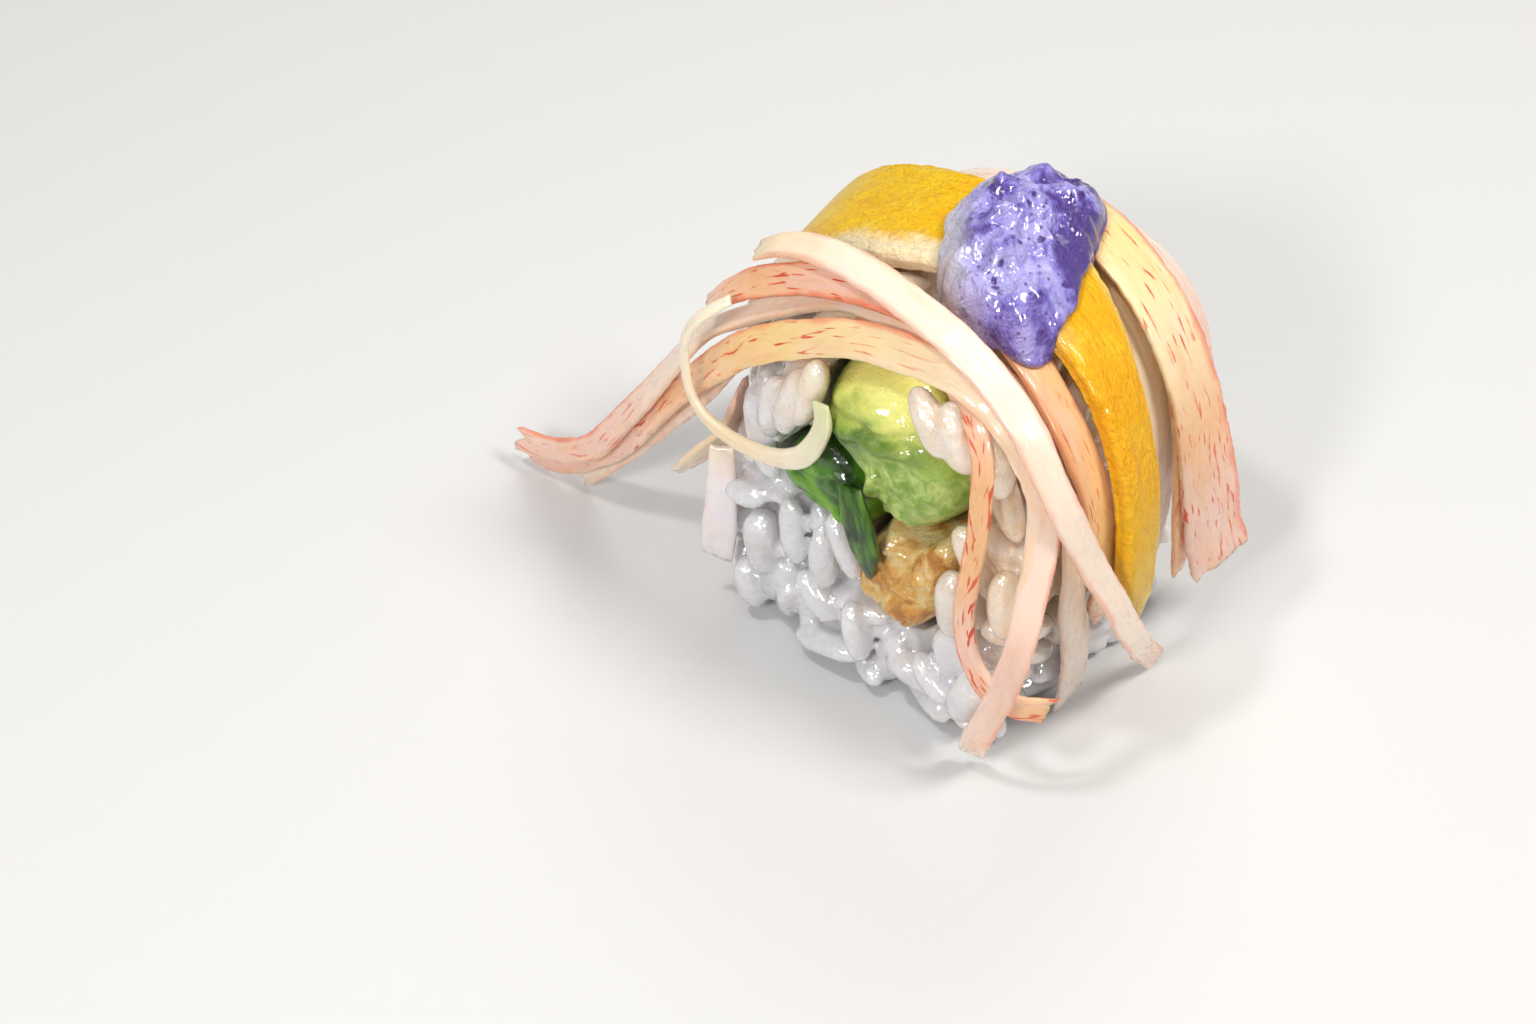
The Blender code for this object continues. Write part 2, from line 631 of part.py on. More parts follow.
OVER_MANGO = [
    ("band_narrow", (2.6, 2.8, 2.8, 2.4), (0, 0), 0.8, 6, 0.0,
     [over(-2, 8.6, 1.8), over(12, 8.4, 1.8), over(27, 7.8, 1.8), over(43, 7.2, 1.8),
      over(63, 7.4, 2.0), over(86, 8.0, 2.6), over(104, 9.2, 3.2), over(118, 10.8, 3.6)]),
    ("band_wide", (5.6, 6.2, 6.6, 6.8, 6.8), (0, 0, 0, 15, 25), 0.8, 8, 0.2,
     [over(-10, 9.8, 1.6), over(5, 9.4, 1.7), over(17, 8.4, 1.8), over(31, 7.7, 2.0),
      over(47, 7.9, 2.2), over(67, 9.0, 2.4), over(87, 10.7, 2.9), over(103, 12.3, 3.4),
      free(23.0, 13.8, 9.0)]),
    ("band_back", (2.4, 3.2, 3.4, 3.6, 3.6, 2.6), (35, 35, 40, 42, 42, 40), 0.9, 6, 0.0,
     [over(-62, 11.8, 1.4), over(-50, 11.9, 1.6), over(-35, 12.4, 0.8), over(-22, 13.0, 0.0),
      over(-8, 13.8, -0.8), over(7, 14.4, -1.2), over(21, 14.6, -1.2), over(35, 14.5, -0.8),
      over(50, 14.3, -0.4), over(66, 14.2, 0.0)]),
    ("band_hanging", (2.2, 2.1, 2.0, 2.2, 3.2), (0, 0), 0.8, 6, 0.0,
     [over(12, -12.6, 0.7), over(20, -14.4, 0.8), free(15.7, -15.8, 40.8), free(16.4, -16.5, 37.0),
      free(16.5, -16.8, 32.2), free(16.1, -17.0, 26.2), free(15.9, -17.1, 20.4),
      free(17.0, -17.1, 15.8), free(19.4, -16.9, 12.8), free(21.8, -15.7, 11.6),
      free(23.4, -13.9, 10.8)]),
    ("band_front", (2.6, 3.8, 3.5, 3.5, 3.3, 2.7, 2.8), (80, 75, 20, 0, 0, 0, 0, 0), 0.9, 6, 0.0,
     [free(-42.6, -11.8, 1.6), free(-38.6, -11.4, 2.2), free(-33.6, -11.2, 6.2),
      free(-27.8, -11.6, 13.2), free(-21.6, -12.4, 21.6), over(-58, -13.8, 1.8),
      over(-40, -14.5, 0.0),
      over(-24, -14.7, -0.8), over(-9, -14.3, 0.4), over(4, -13.3, 0.8), over(20, -12.2, 0.8),
      over(40, -12.6, 1.4), over(54, -14.4, 2.2), over(66, -16.2, 2.4), free(22.6, -17.9, 22.6),
      free(21.2, -18.4, 14.8), free(18.8, -17.8, 7.0), free(17.2, -16.2, 2.2)]),
    ("band_left", (2.6, 2.8, 2.5, 2.6, 2.8, 3.0), (60, 80, 50, 10, 0, 0), 1.0, 6, 0.0,
     [free(-43.2, -11.2, 2.0), free(-39.6, -10.8, 3.0), free(-34.0, -10.8, 7.0),
      free(-27.4, -10.8, 14.4), over(-75, -10.8, 4.6), over(-57, -10.9, 2.0),
      over(-40, -11.0, 1.2), over(-23, -10.9, 0.9), over(-9, -10.8, 1.1), over(6, -10.4, 1.4)]),
    ("band_veined", (2.6, 3.2, 3.2, 2.8, 2.2), (30, 30, 0, 0), 0.8, 6, 0.0,
     [over(-48, -9.9, 2.4), over(-42, -10.1, 2.8), over(-34, -10.4, 2.8),
      over(-24, -10.8, 2.6), over(-12, -11.0, 2.0), over(0, -11.2, 2.0), over(10, -11.6, 2.0)]),
    ("band_long", (2.4, 3.2, 3.3, 3.0, 2.8, 2.8, 2.6), (20, 10, 0, 0, 0, 0), 0.9, 6, 0.0,
     [over(-34, -8.0, 1.6), over(-28, -8.3, 1.6), over(-20, -9.0, 1.8),
      over(-10, -10.0, 2.0), over(2, -11.0, 2.2), over(14, -11.8, 2.4), over(26, -12.5, 2.6),
      over(37, -12.9, 2.6), over(50, -12.2, 2.6), free(22.9, -9.4, 25.5), free(23.0, -4.2, 14.6),
      free(23.3, 5.0, 1.6)]),
]
CURL_ROUTE = [free(-13.4, -14.8, 40.6), free(-15.8, -16.6, 38.0), free(-16.8, -17.2, 35.4),
              free(-16.9, -17.2, 32.0), free(-16.3, -17.2, 29.0), free(-14.5, -17.2, 27.0),
              free(-11.0, -17.2, 26.2), free(-6.7, -17.2, 26.9), free(-3.4, -17.2, 28.8),
              free(-1.5, -17.2, 31.8), free(-0.6, -17.2, 35.0), free(-1.1, -17.0, 36.9)]
CURL_WIDTHS = (1.4, 1.4, 1.6, 2.2, 1.8)
CURL_THICKNESS = 0.8
LEAF_ROUTE = [free(2.6, -15.6, 28.2), free(3.6, -16.6, 25.4), free(4.2, -16.8, 22.2),
              free(4.4, -16.2, 17.6)]
LEAF_WIDTHS = (2.6, 3.8, 3.2, 0.8)
LEAF_THICKNESS = 0.8


def build():
    for obj in list(bpy.data.objects):
        bpy.data.objects.remove(obj, do_unlink=True)

    rice_material = make_material("rice", RICE, 0.3)
    crab = make_material("crab", CRAB, 0.35)
    crab_pale = make_material("crab_pale", CRAB_PALE, 0.35)
    avocado = make_material("avocado", AVOCADO, 0.4)
    avocado_dark = make_material("avocado_dark", AVOCADO_DARK, 0.35)
    leaf = make_material("leaf", LEAF, 0.3)
    fish = make_material("fish", FISH, 0.6)
    mango = make_material("mango", MANGO, 0.25)
    sauce = make_material("sauce", SAUCE, 0.15)
    pale_bands = ("band_under_left", "band_drop", "band_grey", "band_long", "band_left_drop")

    pile = Pile()
    toppings = Pile()
    face = -ROLL_LENGTH / 2
    back = ROLL_LENGTH / 2

    body = roll_body()
    pile.add("rice", body)
    roll = make_object("rice", body.copy(), rice_material)
    cut(roll, make_object("tunnel", tunnel(), None))

    def keep(name, bm, material):
        pile.add(name, bm)
        toppings.add(name, bm)
        make_object(name, bm, material)

    keep("avocado", filling(AVOCADO_OUTLINE, face - 1.6, back + 0.6, 0.05, 1.0), avocado)
    keep("avocado_slice", filling(SLICE_OUTLINE, face - 1.0, back + 0.4, 0.06, 5.0), avocado_dark)
    keep("fish", filling(FISH_OUTLINE, face - 1.2, back + 0.5, 0.06, 9.0), fish)

    def lay(name, widths, twists, thickness, points_round, wave, route):
        band = lay_band(route, widths, thickness, pile, points_round, wave, twists)
        keep(name, band, crab_pale if name in pale_bands else crab)

    for band in UNDER_MANGO:
        lay(*band)
    keep("mango", lay_band(MANGO_ROUTE, MANGO_WIDTHS, MANGO_THICKNESS, pile, 10, 0.1,
                           MANGO_TWISTS), mango)
    for band in OVER_MANGO:
        lay(*band)
    keep("sauce", sauce_dollop(pile), sauce)
    keep("leaf", lay_band(LEAF_ROUTE, LEAF_WIDTHS, LEAF_THICKNESS, pile, spacing=2.0), leaf)
    curl = lay_band(CURL_ROUTE, CURL_WIDTHS, CURL_THICKNESS, pile, spacing=2.0)
    keep("curl", curl, crab_pale)

    grains = []
    for centre, direction, length in place_grains(body, toppings):
        grains.append(make_object("grain", grain_shape(centre, direction, length), None))
    body.free()
    fuse(roll, grains)
    keep_largest_shell(roll)


build()
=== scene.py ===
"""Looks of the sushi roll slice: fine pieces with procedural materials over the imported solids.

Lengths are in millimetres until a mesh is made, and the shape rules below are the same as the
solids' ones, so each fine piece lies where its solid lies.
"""

import math
import random

import bmesh
import bpy
from mathutils import Matrix, Quaternion, Vector, noise
from mathutils.bvhtree import BVHTree
from mathutils.kdtree import KDTree


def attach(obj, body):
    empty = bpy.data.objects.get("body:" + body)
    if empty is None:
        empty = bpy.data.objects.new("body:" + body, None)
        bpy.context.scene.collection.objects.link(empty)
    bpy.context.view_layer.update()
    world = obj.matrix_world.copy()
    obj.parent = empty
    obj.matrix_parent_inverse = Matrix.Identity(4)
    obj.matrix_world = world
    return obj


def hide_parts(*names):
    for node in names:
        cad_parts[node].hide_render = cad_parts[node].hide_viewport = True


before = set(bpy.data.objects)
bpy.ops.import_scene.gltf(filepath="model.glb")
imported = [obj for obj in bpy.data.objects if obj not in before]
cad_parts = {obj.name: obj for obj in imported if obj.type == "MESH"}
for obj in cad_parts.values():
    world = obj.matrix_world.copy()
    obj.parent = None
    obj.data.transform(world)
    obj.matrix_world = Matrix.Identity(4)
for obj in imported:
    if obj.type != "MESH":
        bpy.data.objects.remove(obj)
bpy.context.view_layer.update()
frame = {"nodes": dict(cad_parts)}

MM = 0.001

# The roll of rice, as in the solids.
ROLL_WIDTH = 35.0
ROLL_HEIGHT = 43.5
ROLL_LENGTH = 28.5
ROLL_LEAN = 4.5
AXIS_HEIGHT = 19.0
ARCH_EXPONENT = 2.6
FOOT_EXPONENT = 4.0
END_EXPONENT = 6.0
ROLL_RELIEF = 0.35
FOOT_ROUNDING = 7.0
FOOT_TUCK = 3.0

GRAIN_LENGTH = 7.8
GRAIN_THICKNESS = 3.5
GRAIN_SPACING = 2.5
GRAIN_REACH = 1.12
GRAIN_TRIES = 7000
GRAIN_SEED = 14

# Laying bands, as in the solids: the gap that is kept everywhere, the steps along a path, how far
# from a band the pile is felt for, and how much it is lifted when it still crosses something.
GAP = 0.3
STATION = 3.0
REACH = 14.0
EXTRA_LIFT = 0.6
MOST_EXTRA_LIFT = 4
LIFT_PASSES = 8
PROBES_ACROSS = (-0.6, -0.3, 0, 0.3, 0.6)
PROBES_ALONG = (-0.9, -0.45, 0, 0.45, 0.9)
CURVE_SAMPLES = 16
BAND_EDGE = 0.7
BAND_FACE = 0.5

# Finer steps for the looks: along and round a band, how near its end it thins and tears, and the
# notch of a forked end; then the fillings' cut faces and the sauce.
FINE_STATION = 0.6
FINE_ROUND = 20
THIN_END = 2.2
TORN_END = 2.6
NOTCH_WIDTH = 0.55
FACE_Y = -ROLL_LENGTH / 2
FACE_STEPS = 22
FACE_EXPONENT = 5
FILLING_SPACING = 0.55
SAUCE_AROUND = 150
SAUCE_RINGS = 76

# Grains: the solids' first, then deeper ones that fill in between them, all fused by a remesh.
# A grain is tried at shares of its full length until one is clear of the toppings.
GRAIN_PLACES = (-0.8, -0.45, 0, 0.45, 0.8)
GRAIN_SHARES = (1.0, 0.8, 0.6)
GRAIN_STAND = 0.5
FILL_STAND = -0.25
FILL_TRIES = 14000
FILL_SPACING = 1.5
FILL_SEED = 5
GRAIN_AROUND = 12
GRAIN_RINGS = 9
GRAIN_SLIMNESS = 0.97
GRAIN_STRETCH = 1.08
CORE_BUMPS = 0.5
CORE_INSET = 0.7
RICE_VOXEL = 0.32

# Grains that lie plainly on the cut face: their two ends and their thickness.
LAID_GRAINS = [
    ((-2.6, -15.6, 39.8), (-4.6, -15.8, 31.6), 3.8),
    ((-4.4, -15.4, 37.6), (-6.4, -15.6, 29.4), 3.4),
    ((-7.4, -15.2, 34.6), (-8.6, -15.2, 27.2), 3.2),
    ((7.9, -15.3, 43.0), (12.2, -16.9, 38.8), 3.3),
    ((11.4, -15.2, 43.2), (14.4, -15.7, 37.4), 3.6),
    ((14.8, -14.8, 41.6), (17.6, -15.0, 36.0), 3.4),
    ((16.9, -14.7, 12.4), (15.0, -16.3, 6.0), 4.0),
    ((-9.2, -15.2, 18.4), (-13.8, -15.0, 16.4), 3.2),
    ((-4.8, -15.0, 2.2), (2.6, -15.2, 4.2), 3.6),
    ((1.6, -15.2, 11.0), (3.2, -15.4, 4.6), 3.6),
    ((-0.8, -15.2, 21.6), (2.4, -15.6, 15.6), 3.0),
    ((-12.0, -14.6, 7.4), (-10.4, -14.4, 2.0), 3.4),
    ((-6.2, -15.0, 19.6), (-5.2, -15.0, 12.2), 3.6),
    ((-9.8, -14.9, 15.6), (-9.2, -15.0, 8.2), 3.8),
    ((-4.6, -15.0, 11.2), (-0.6, -15.0, 7.2), 3.4),
    ((-2.4, -15.0, 18.0), (-1.6, -15.1, 11.4), 3.2),
    ((12.8, -15.0, 22.8), (13.6, -15.2, 15.2), 3.4),
    ((9.6, -15.2, 9.8), (13.8, -15.4, 6.2), 3.4),
    ((18.4, -15.0, 26.6), (19.6, -15.2, 19.4), 3.6),
]


# Shape of the roll

def section_radius(phi):
    """Distance from the roll's axis to its surface, phi radians from straight up towards +X."""
    half_width = ROLL_WIDTH / 2
    half_height = ROLL_HEIGHT - AXIS_HEIGHT
    on_foot = math.cos(phi) < 0 < math.sin(phi)
    exponent = FOOT_EXPONENT if on_foot else ARCH_EXPONENT
    across = abs(math.sin(phi) / half_width) ** exponent
    upward = abs(math.cos(phi) / half_height) ** exponent
    return (across + upward) ** (-1 / exponent)


def over(phi_degrees, y, lift):
    """A point at a lift above the roll's surface."""
    phi = math.radians(phi_degrees)
    radius = section_radius(phi) + lift
    z = AXIS_HEIGHT + radius * math.cos(phi)
    return Vector((radius * math.sin(phi) + ROLL_LEAN * z / ROLL_HEIGHT, y, z))


def free(x, y, z):
    """A point away from the roll."""
    return Vector((x, y, z))


def depth_ratio(point):
    """1 on the roll's surface, less inside and more outside."""
    x = point.x - ROLL_LEAN * point.z / ROLL_HEIGHT
    z = point.z - AXIS_HEIGHT
    ratio = math.hypot(x, z) / section_radius(math.atan2(x, z))
    end = abs(point.y) / (ROLL_LENGTH / 2)
    return (ratio ** END_EXPONENT + end ** END_EXPONENT) ** (1 / END_EXPONENT)


def outward(point):
    """Unit vector that points away from the roll."""
    step = 0.05
    axes = (Vector((step, 0, 0)), Vector((0, step, 0)), Vector((0, 0, step)))
    slope = Vector([depth_ratio(point + axis) - depth_ratio(point - axis) for axis in axes])
    return slope.normalized()


def wander(x, y=0.0, z=0.0):
    """Smooth noise between about -1 and 1."""
    return noise.noise(Vector((x, y, z)))


# Building bodies

def close_up(bm):
    """All faces turned out of the body."""
    bmesh.ops.recalc_face_normals(bm, faces=bm.faces)
    if bm.calc_volume(signed=True) < 0:
        bmesh.ops.reverse_faces(bm, faces=bm.faces)
    return bm


def loft(rings, strip_ends=False):
    """A closed body through rings of points; its ends are strips or single faces."""
    bm = bmesh.new()
    rows = [[bm.verts.new(point) for point in ring] for ring in rings]
    count = len(rings[0])
    for row, following in zip(rows, rows[1:]):
        for i in range(count):
            j = (i + 1) % count
            bm.faces.new((row[i], row[j], following[j], following[i]))
    for row in (rows[0], rows[-1]):
        if strip_ends:
            for i in range(count // 2 - 1):
                bm.faces.new((row[i], row[i + 1], row[count - 2 - i], row[count - 1 - i]))
        else:
            bm.faces.new(row)
    return close_up(bm)


def end_profile(steps):
    """Pairs of place along a rounded bar, -1 to 1, and its width there, up to 1."""
    pairs = []
    for i in range(1, steps):
        turn = math.pi * i / steps
        along = math.copysign(abs(math.cos(turn)) ** (2 / END_EXPONENT), -math.cos(turn))
        pairs.append((along, math.sin(turn) ** (2 / END_EXPONENT)))
    return pairs


def rounded(points, passes=1):
    """The outline with its corners cut."""
    for _ in range(passes):
        cut = []
        for a, b in zip(points, points[1:] + points[:1]):
            cut.append((0.75 * a[0] + 0.25 * b[0], 0.75 * a[1] + 0.25 * b[1]))
            cut.append((0.25 * a[0] + 0.75 * b[0], 0.25 * a[1] + 0.75 * b[1]))
        points = cut
    return points


def smooth_path(points, spacing):
    """Evenly spaced points on a smooth curve through the given ones."""
    padded = [2 * points[0] - points[1], *points, 2 * points[-1] - points[-2]]
    dense = []
    for a, b, c, d in zip(padded, padded[1:], padded[2:], padded[3:]):
        for i in range(CURVE_SAMPLES):
            t = i / CURVE_SAMPLES
            bend = (2 * a - 5 * b + 4 * c - d) * t * t + (3 * b - a - 3 * c + d) * t ** 3
            dense.append(0.5 * (2 * b + (c - a) * t + bend))
    dense.append(points[-1])
    travelled = [0.0]
    for a, b in zip(dense, dense[1:]):
        travelled.append(travelled[-1] + (b - a).length)
    count = max(3, round(travelled[-1] / spacing))
    path = []
    i = 0
    for k in range(count + 1):
        target = travelled[-1] * k / count
        while i < len(dense) - 2 and travelled[i + 1] < target:
            i += 1
        step = travelled[i + 1] - travelled[i]
        path.append(dense[i].lerp(dense[i + 1], (target - travelled[i]) / step))
    return path


def blend(values, t):
    """Value at t, 0 to 1, of evenly spaced values joined by straight lines."""
    place = t * (len(values) - 1)
    i = min(int(place), len(values) - 2)
    return values[i] + (values[i + 1] - values[i]) * (place - i)


def ease(low, high, value):
    """0 below low, 1 above high, smooth between."""
    t = min(1.0, max(0.0, (value - low) / (high - low)))
    return t * t * (3 - 2 * t)


# Pieces: each is one smooth mesh that rides on the part and replaces its solid.

def add_object(name, data):
    """Put a mesh, camera or lamp into the scene."""
    obj = bpy.data.objects.new(name, data)
    bpy.context.scene.collection.objects.link(obj)
    return obj


def make_piece(name, bm, material, marks=None):
    """Turn a body in millimetres into a piece; marks are vectors kept on its points."""
    mesh = bpy.data.meshes.new(name)
    bmesh.ops.scale(bm, vec=(MM, MM, MM), verts=bm.verts)
    bm.to_mesh(mesh)
    bm.free()
    mesh.polygons.foreach_set("use_smooth", [True] * len(mesh.polygons))
    for mark, values in (marks or {}).items():
        layer = mesh.attributes.new(mark, "FLOAT_VECTOR", "POINT")
        layer.data.foreach_set("vector", [part for value in values for part in value])
    mesh.materials.append(material)
    obj = add_object(name + "_food", mesh)
    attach(obj, "root")
    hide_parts(name)


# Laying pieces on what is below them

def solid_tree(name):
    """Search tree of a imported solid, in millimetres."""
    mesh = frame["nodes"][name].data
    points = [vert.co / MM for vert in mesh.vertices]
    return BVHTree.FromPolygons(points, [tuple(face.vertices) for face in mesh.polygons])


class Pile:
    """The surfaces laid so far, in millimetres."""

    def __init__(self):
        self.trees = {}

    def height(self, point, normal, names=None):
        """How far the pile stands above a point along its normal; None where nothing is below."""
        top = None
        for name in names or self.trees:
            hit = self.trees[name].ray_cast(point + normal * REACH, -normal, 2 * REACH)
            if hit[0] is not None and (top is None or REACH - hit[3] > top):
                top = REACH - hit[3]
        return top

    def distance(self, point):
        """From a point to the nearest surface."""
        return min(tree.find_nearest(point)[3] for tree in self.trees.values())

    def crossed_by(self, bm):
        """Middles of the faces of a body that cross the pile."""
        own = BVHTree.FromBMesh(bm)
        bm.faces.ensure_lookup_table()
        crossing = {a for tree in self.trees.values() for a, _ in own.overlap(tree)}
        return [bm.faces[i].calc_center_median() for i in crossing]


def path_frames(path, twists):
    """A tangent, side and outward normal at each point, carried down from the highest one."""
    last = len(path) - 1
    tangents = [(path[min(i + 1, last)] - path[max(i - 1, 0)]).normalized()
                for i in range(last + 1)]
    top = max(range(last + 1), key=lambda i: path[i].z)
    frames = [None] * (last + 1)
    for order in (range(top, last + 1), range(top, -1, -1)):
        normal = outward(path[top])
        for i in order:
            tangent = tangents[i]
            away = outward(path[i])
            away -= tangent * away.dot(tangent)
            normal -= tangent * normal.dot(tangent)
            if away.length > 0.5:
                normal = away
            normal = normal.normalized()
            turn = Quaternion(tangent, math.radians(blend(twists, i / last)))
            facing = turn @ normal
            frames[i] = (tangent, tangent.cross(facing).normalized(), facing)
    return frames


def settle(path, frames, widths, thickness, pile, extra):
    """Lift a path until a band along it clears the pile, and smooth the lift."""
    needed = []
    for point, (tangent, side, normal), width in zip(path, frames, widths):
        tops = [0.0]
        for across in PROBES_ACROSS:
            for along in PROBES_ALONG:
                probe = point + side * across * width + tangent * along * STATION
                top = pile.height(probe, normal)
                if top is not None:
                    tops.append(top + GAP + thickness / 2)
        needed.append(max(tops))
    needed = [need + more for need, more in zip(needed, extra)]
    lift = needed
    for _ in range(LIFT_PASSES):
        ends = [lift[0], *lift, lift[-1]]
        lift = [max(need, (a + 2 * b + c) / 4)
                for need, a, b, c in zip(needed, ends, ends[1:], ends[2:])]
    return [point + frame[2] * up for point, frame, up in zip(path, frames, lift)]


def band_section(count, thickness, width):
    """Points round a flat band with softened edges, as offsets across it and outward."""
    section = []
    for k in range(count):
        turn = math.tau * (k + 0.5) / count
        across = math.copysign(abs(math.cos(turn)) ** BAND_EDGE, math.cos(turn))
        up = math.copysign(abs(math.sin(turn)) ** BAND_FACE, math.sin(turn))
        section.append((across * width / 2, up * thickness / 2))
    return section


def above_floor(ring):
    """The ring, lifted where its lowest point would be too near the floor."""
    rise = max(0.0, GAP - min(point.z for point in ring))
    return [point + Vector((0, 0, rise)) for point in ring]


def band_rings(path, widths, thickness, points_round, wave, twists):
    """Rings of points along a path, all of them clear of the floor."""
    rings = []
    for i, (point, (_, side, normal)) in enumerate(zip(path, path_frames(path, twists))):
        ring = []
        for across, up in band_section(points_round, thickness, widths[i]):
            ripple = wave * abs(math.sin(0.9 * i + 5.0 * across / widths[i]))
            ring.append(point + side * across + normal * (up + ripple))
        rings.append(above_floor(ring))
    return rings


def laid_path(route, widths, thickness, pile, points_round=6, wave=0.0, twists=(0, 0),
              spacing=STATION):
    """The path on which the solids' band lies, clear of the pile below it."""
    path = smooth_path(route, spacing)
    last = len(path) - 1
    width_at = [blend(widths, i / last) for i in range(last + 1)]
    extra = [0.0] * (last + 1)
    while True:
        laid = settle(path, path_frames(path, twists), width_at, thickness, pile, extra)
        bm = loft(band_rings(laid, width_at, thickness, points_round, wave, twists))
        crossings = pile.crossed_by(bm)
        bm.free()
        if not crossings or max(extra) > MOST_EXTRA_LIFT:
            return laid
        for middle in crossings:
            nearest = min(range(last + 1), key=lambda i: (laid[i] - middle).length)
            for i in range(max(0, nearest - 1), min(last, nearest + 1) + 1):
                extra[i] += EXTRA_LIFT / len(crossings)


def fine_band(path, widths, thickness, twists, seed, ridge=0.1, tear=0.8, count=FINE_ROUND,
              swell=0.06, fork=0.0):
    """A fibrous band along a laid path with torn ends, and two marks for its looks.

    The mark flow is the length along the band, the place across it, and 1 on its upper side;
    place is the same as shares, 0 to 1 along and -1 to 1 across. fork notches the first end.
    """
    line = smooth_path(path, FINE_STATION)
    last = len(line) - 1
    spacing = sum((b - a).length for a, b in zip(line, line[1:])) / last
    rings = []
    flow = []
    place = []
    for i, (point, (tangent, side, normal)) in enumerate(zip(line, path_frames(line, twists))):
        s = i * spacing
        to_end = min(s, last * spacing - s)
        width = blend(widths, i / last) * (1 + swell * wander(s * 0.22, seed))
        thin = 0.45 + 0.55 * ease(0, THIN_END, to_end)
        pull = ease(TORN_END, 0, to_end) * (1 if i > last / 2 else -1)
        ring = []
        for across, up in band_section(count, thickness, width):
            fibre = ridge * wander(across * 1.1, s * 0.05, seed)
            fibre += 0.4 * ridge * wander(across * 3.2, s * 0.12, seed + 7)
            ragged = 0.07 * wander(s * 0.9, seed + (13 if across > 0 else 31))
            rag = ragged * (2 * across / width) ** 4
            torn = tear * (wander(across * 0.8, seed + 3) + 0.9 * wander(across * 2.4, seed + 5))
            if i < last / 2:
                torn -= fork * math.exp(-(across / NOTCH_WIDTH) ** 2)
            raised = up * thin + math.copysign(fibre * thin, up)
            ring.append(point + side * (across * (1 + rag)) + normal * raised
                        + tangent * torn * pull)
            flow.append((s, across, 1.0 if up > 0 else 0.0))
            place.append((i / last, 2 * across / width, 0.0))
        rings.append(above_floor(ring))
    return loft(rings, strip_ends=True), {"flow": flow, "place": place}


# Rice

def roll_body(around=40, along_steps=14, bumps=0.0, inset=0.0):
    """The roll of rice, with a flat underside, before its grains are added."""
    rings = []
    for along, width in end_profile(along_steps):
        ring = []
        for k in range(around):
            phi = math.tau * k / around
            radius = section_radius(phi)
            relief = ROLL_RELIEF * wander(phi * 5, along * 4, width * 3)
            z = AXIS_HEIGHT + (radius * math.cos(phi)) * width
            x = (radius * math.sin(phi)) * width + ROLL_LEAN * z / ROLL_HEIGHT
            tuck = FOOT_TUCK * max(0, 1 - z / FOOT_ROUNDING) ** 2
            point = Vector((x, along * (ROLL_LENGTH / 2 - tuck), z))
            away = outward(point)
            if bumps:
                relief -= inset + bumps * (1 - 1.4 * abs(wander(*(point * 0.33))))
            ring.append(point + away * (relief - ROLL_RELIEF / 2))
        rings.append(ring)
    bm = loft(rings)
    everything = list(bm.verts) + list(bm.edges) + list(bm.faces)
    bmesh.ops.bisect_plane(bm, geom=everything, plane_co=(0, 0, 0), plane_no=(0, 0, -1),
                           clear_outer=True)
    rim = [edge for edge in bm.edges if edge.is_boundary]
    bmesh.ops.edgeloop_fill(bm, edges=rim)
    bmesh.ops.triangulate(bm, faces=bm.faces)
    return close_up(bm)


def grain_axis(centre, direction, length, thickness=GRAIN_THICKNESS):
    """Points on a grain's axis with the grain's radius at each."""
    places = []
    for t in GRAIN_PLACES:
        radius = thickness / 2 * math.sqrt(1 - t * t * 0.8)
        places.append((centre + direction * t * length / 2, radius))
    return places


def random_point(rng, faces, areas):
    """A random point on some of a body's faces, and the normal there."""
    face = rng.choices(faces, areas)[0]
    weights = [rng.random() for _ in face.verts]
    point = Vector()
    for weight, vert in zip(weights, face.verts):
        point += vert.co * weight / sum(weights)
    return point, face.normal


def place_grains(body, toppings):
    """The solids' grains, then deeper ones that fill the spaces between them."""
    rng = random.Random(GRAIN_SEED)
    faces = [face for face in body.faces if face.normal.z > -0.6 or face.calc_center_median().z > 1]
    areas = [face.calc_area() for face in faces]
    grains = []
    taken = []
    for start, end, thickness in LAID_GRAINS:
        middle = (Vector(start) + Vector(end)) / 2
        length = (Vector(end) - Vector(start)).length
        direction = (Vector(end) - Vector(start)).normalized()
        taken.extend(p for p, _ in grain_axis(middle, direction, length))
        grains.append((middle, direction, length, thickness))
    for attempt in range(GRAIN_TRIES + FILL_TRIES):
        filling_in = attempt >= GRAIN_TRIES
        if attempt == GRAIN_TRIES:
            rng = random.Random(FILL_SEED)
        point, normal = random_point(rng, faces, areas)
        if depth_ratio(point) < 0.9:
            continue
        across = normal.orthogonal().normalized()
        angle = rng.uniform(0, math.tau)
        direction = across * math.cos(angle) + normal.cross(across) * math.sin(angle)
        if point.z < GRAIN_LENGTH / 2:
            direction.z = 0
            direction.normalize()
        centre = point + normal * (FILL_STAND if filling_in else GRAIN_STAND)
        centre.z = max(centre.z, GRAIN_THICKNESS / 2 + 0.1)
        for share in GRAIN_SHARES:
            length = GRAIN_LENGTH * share * rng.uniform(0.92, 1.08)
            axis = grain_axis(centre, direction, length)
            if all(toppings.distance(p) > radius + GAP for p, radius in axis):
                break
        else:
            continue
        if max(depth_ratio(axis[0][0]), depth_ratio(axis[-1][0])) > GRAIN_REACH:
            continue
        spacing = FILL_SPACING if filling_in else GRAIN_SPACING
        if any((p - q).length < spacing for p, _ in axis for q in taken):
            continue
        taken.extend(p for p, _ in axis)
        grains.append((centre, direction, length, GRAIN_THICKNESS))
    return grains


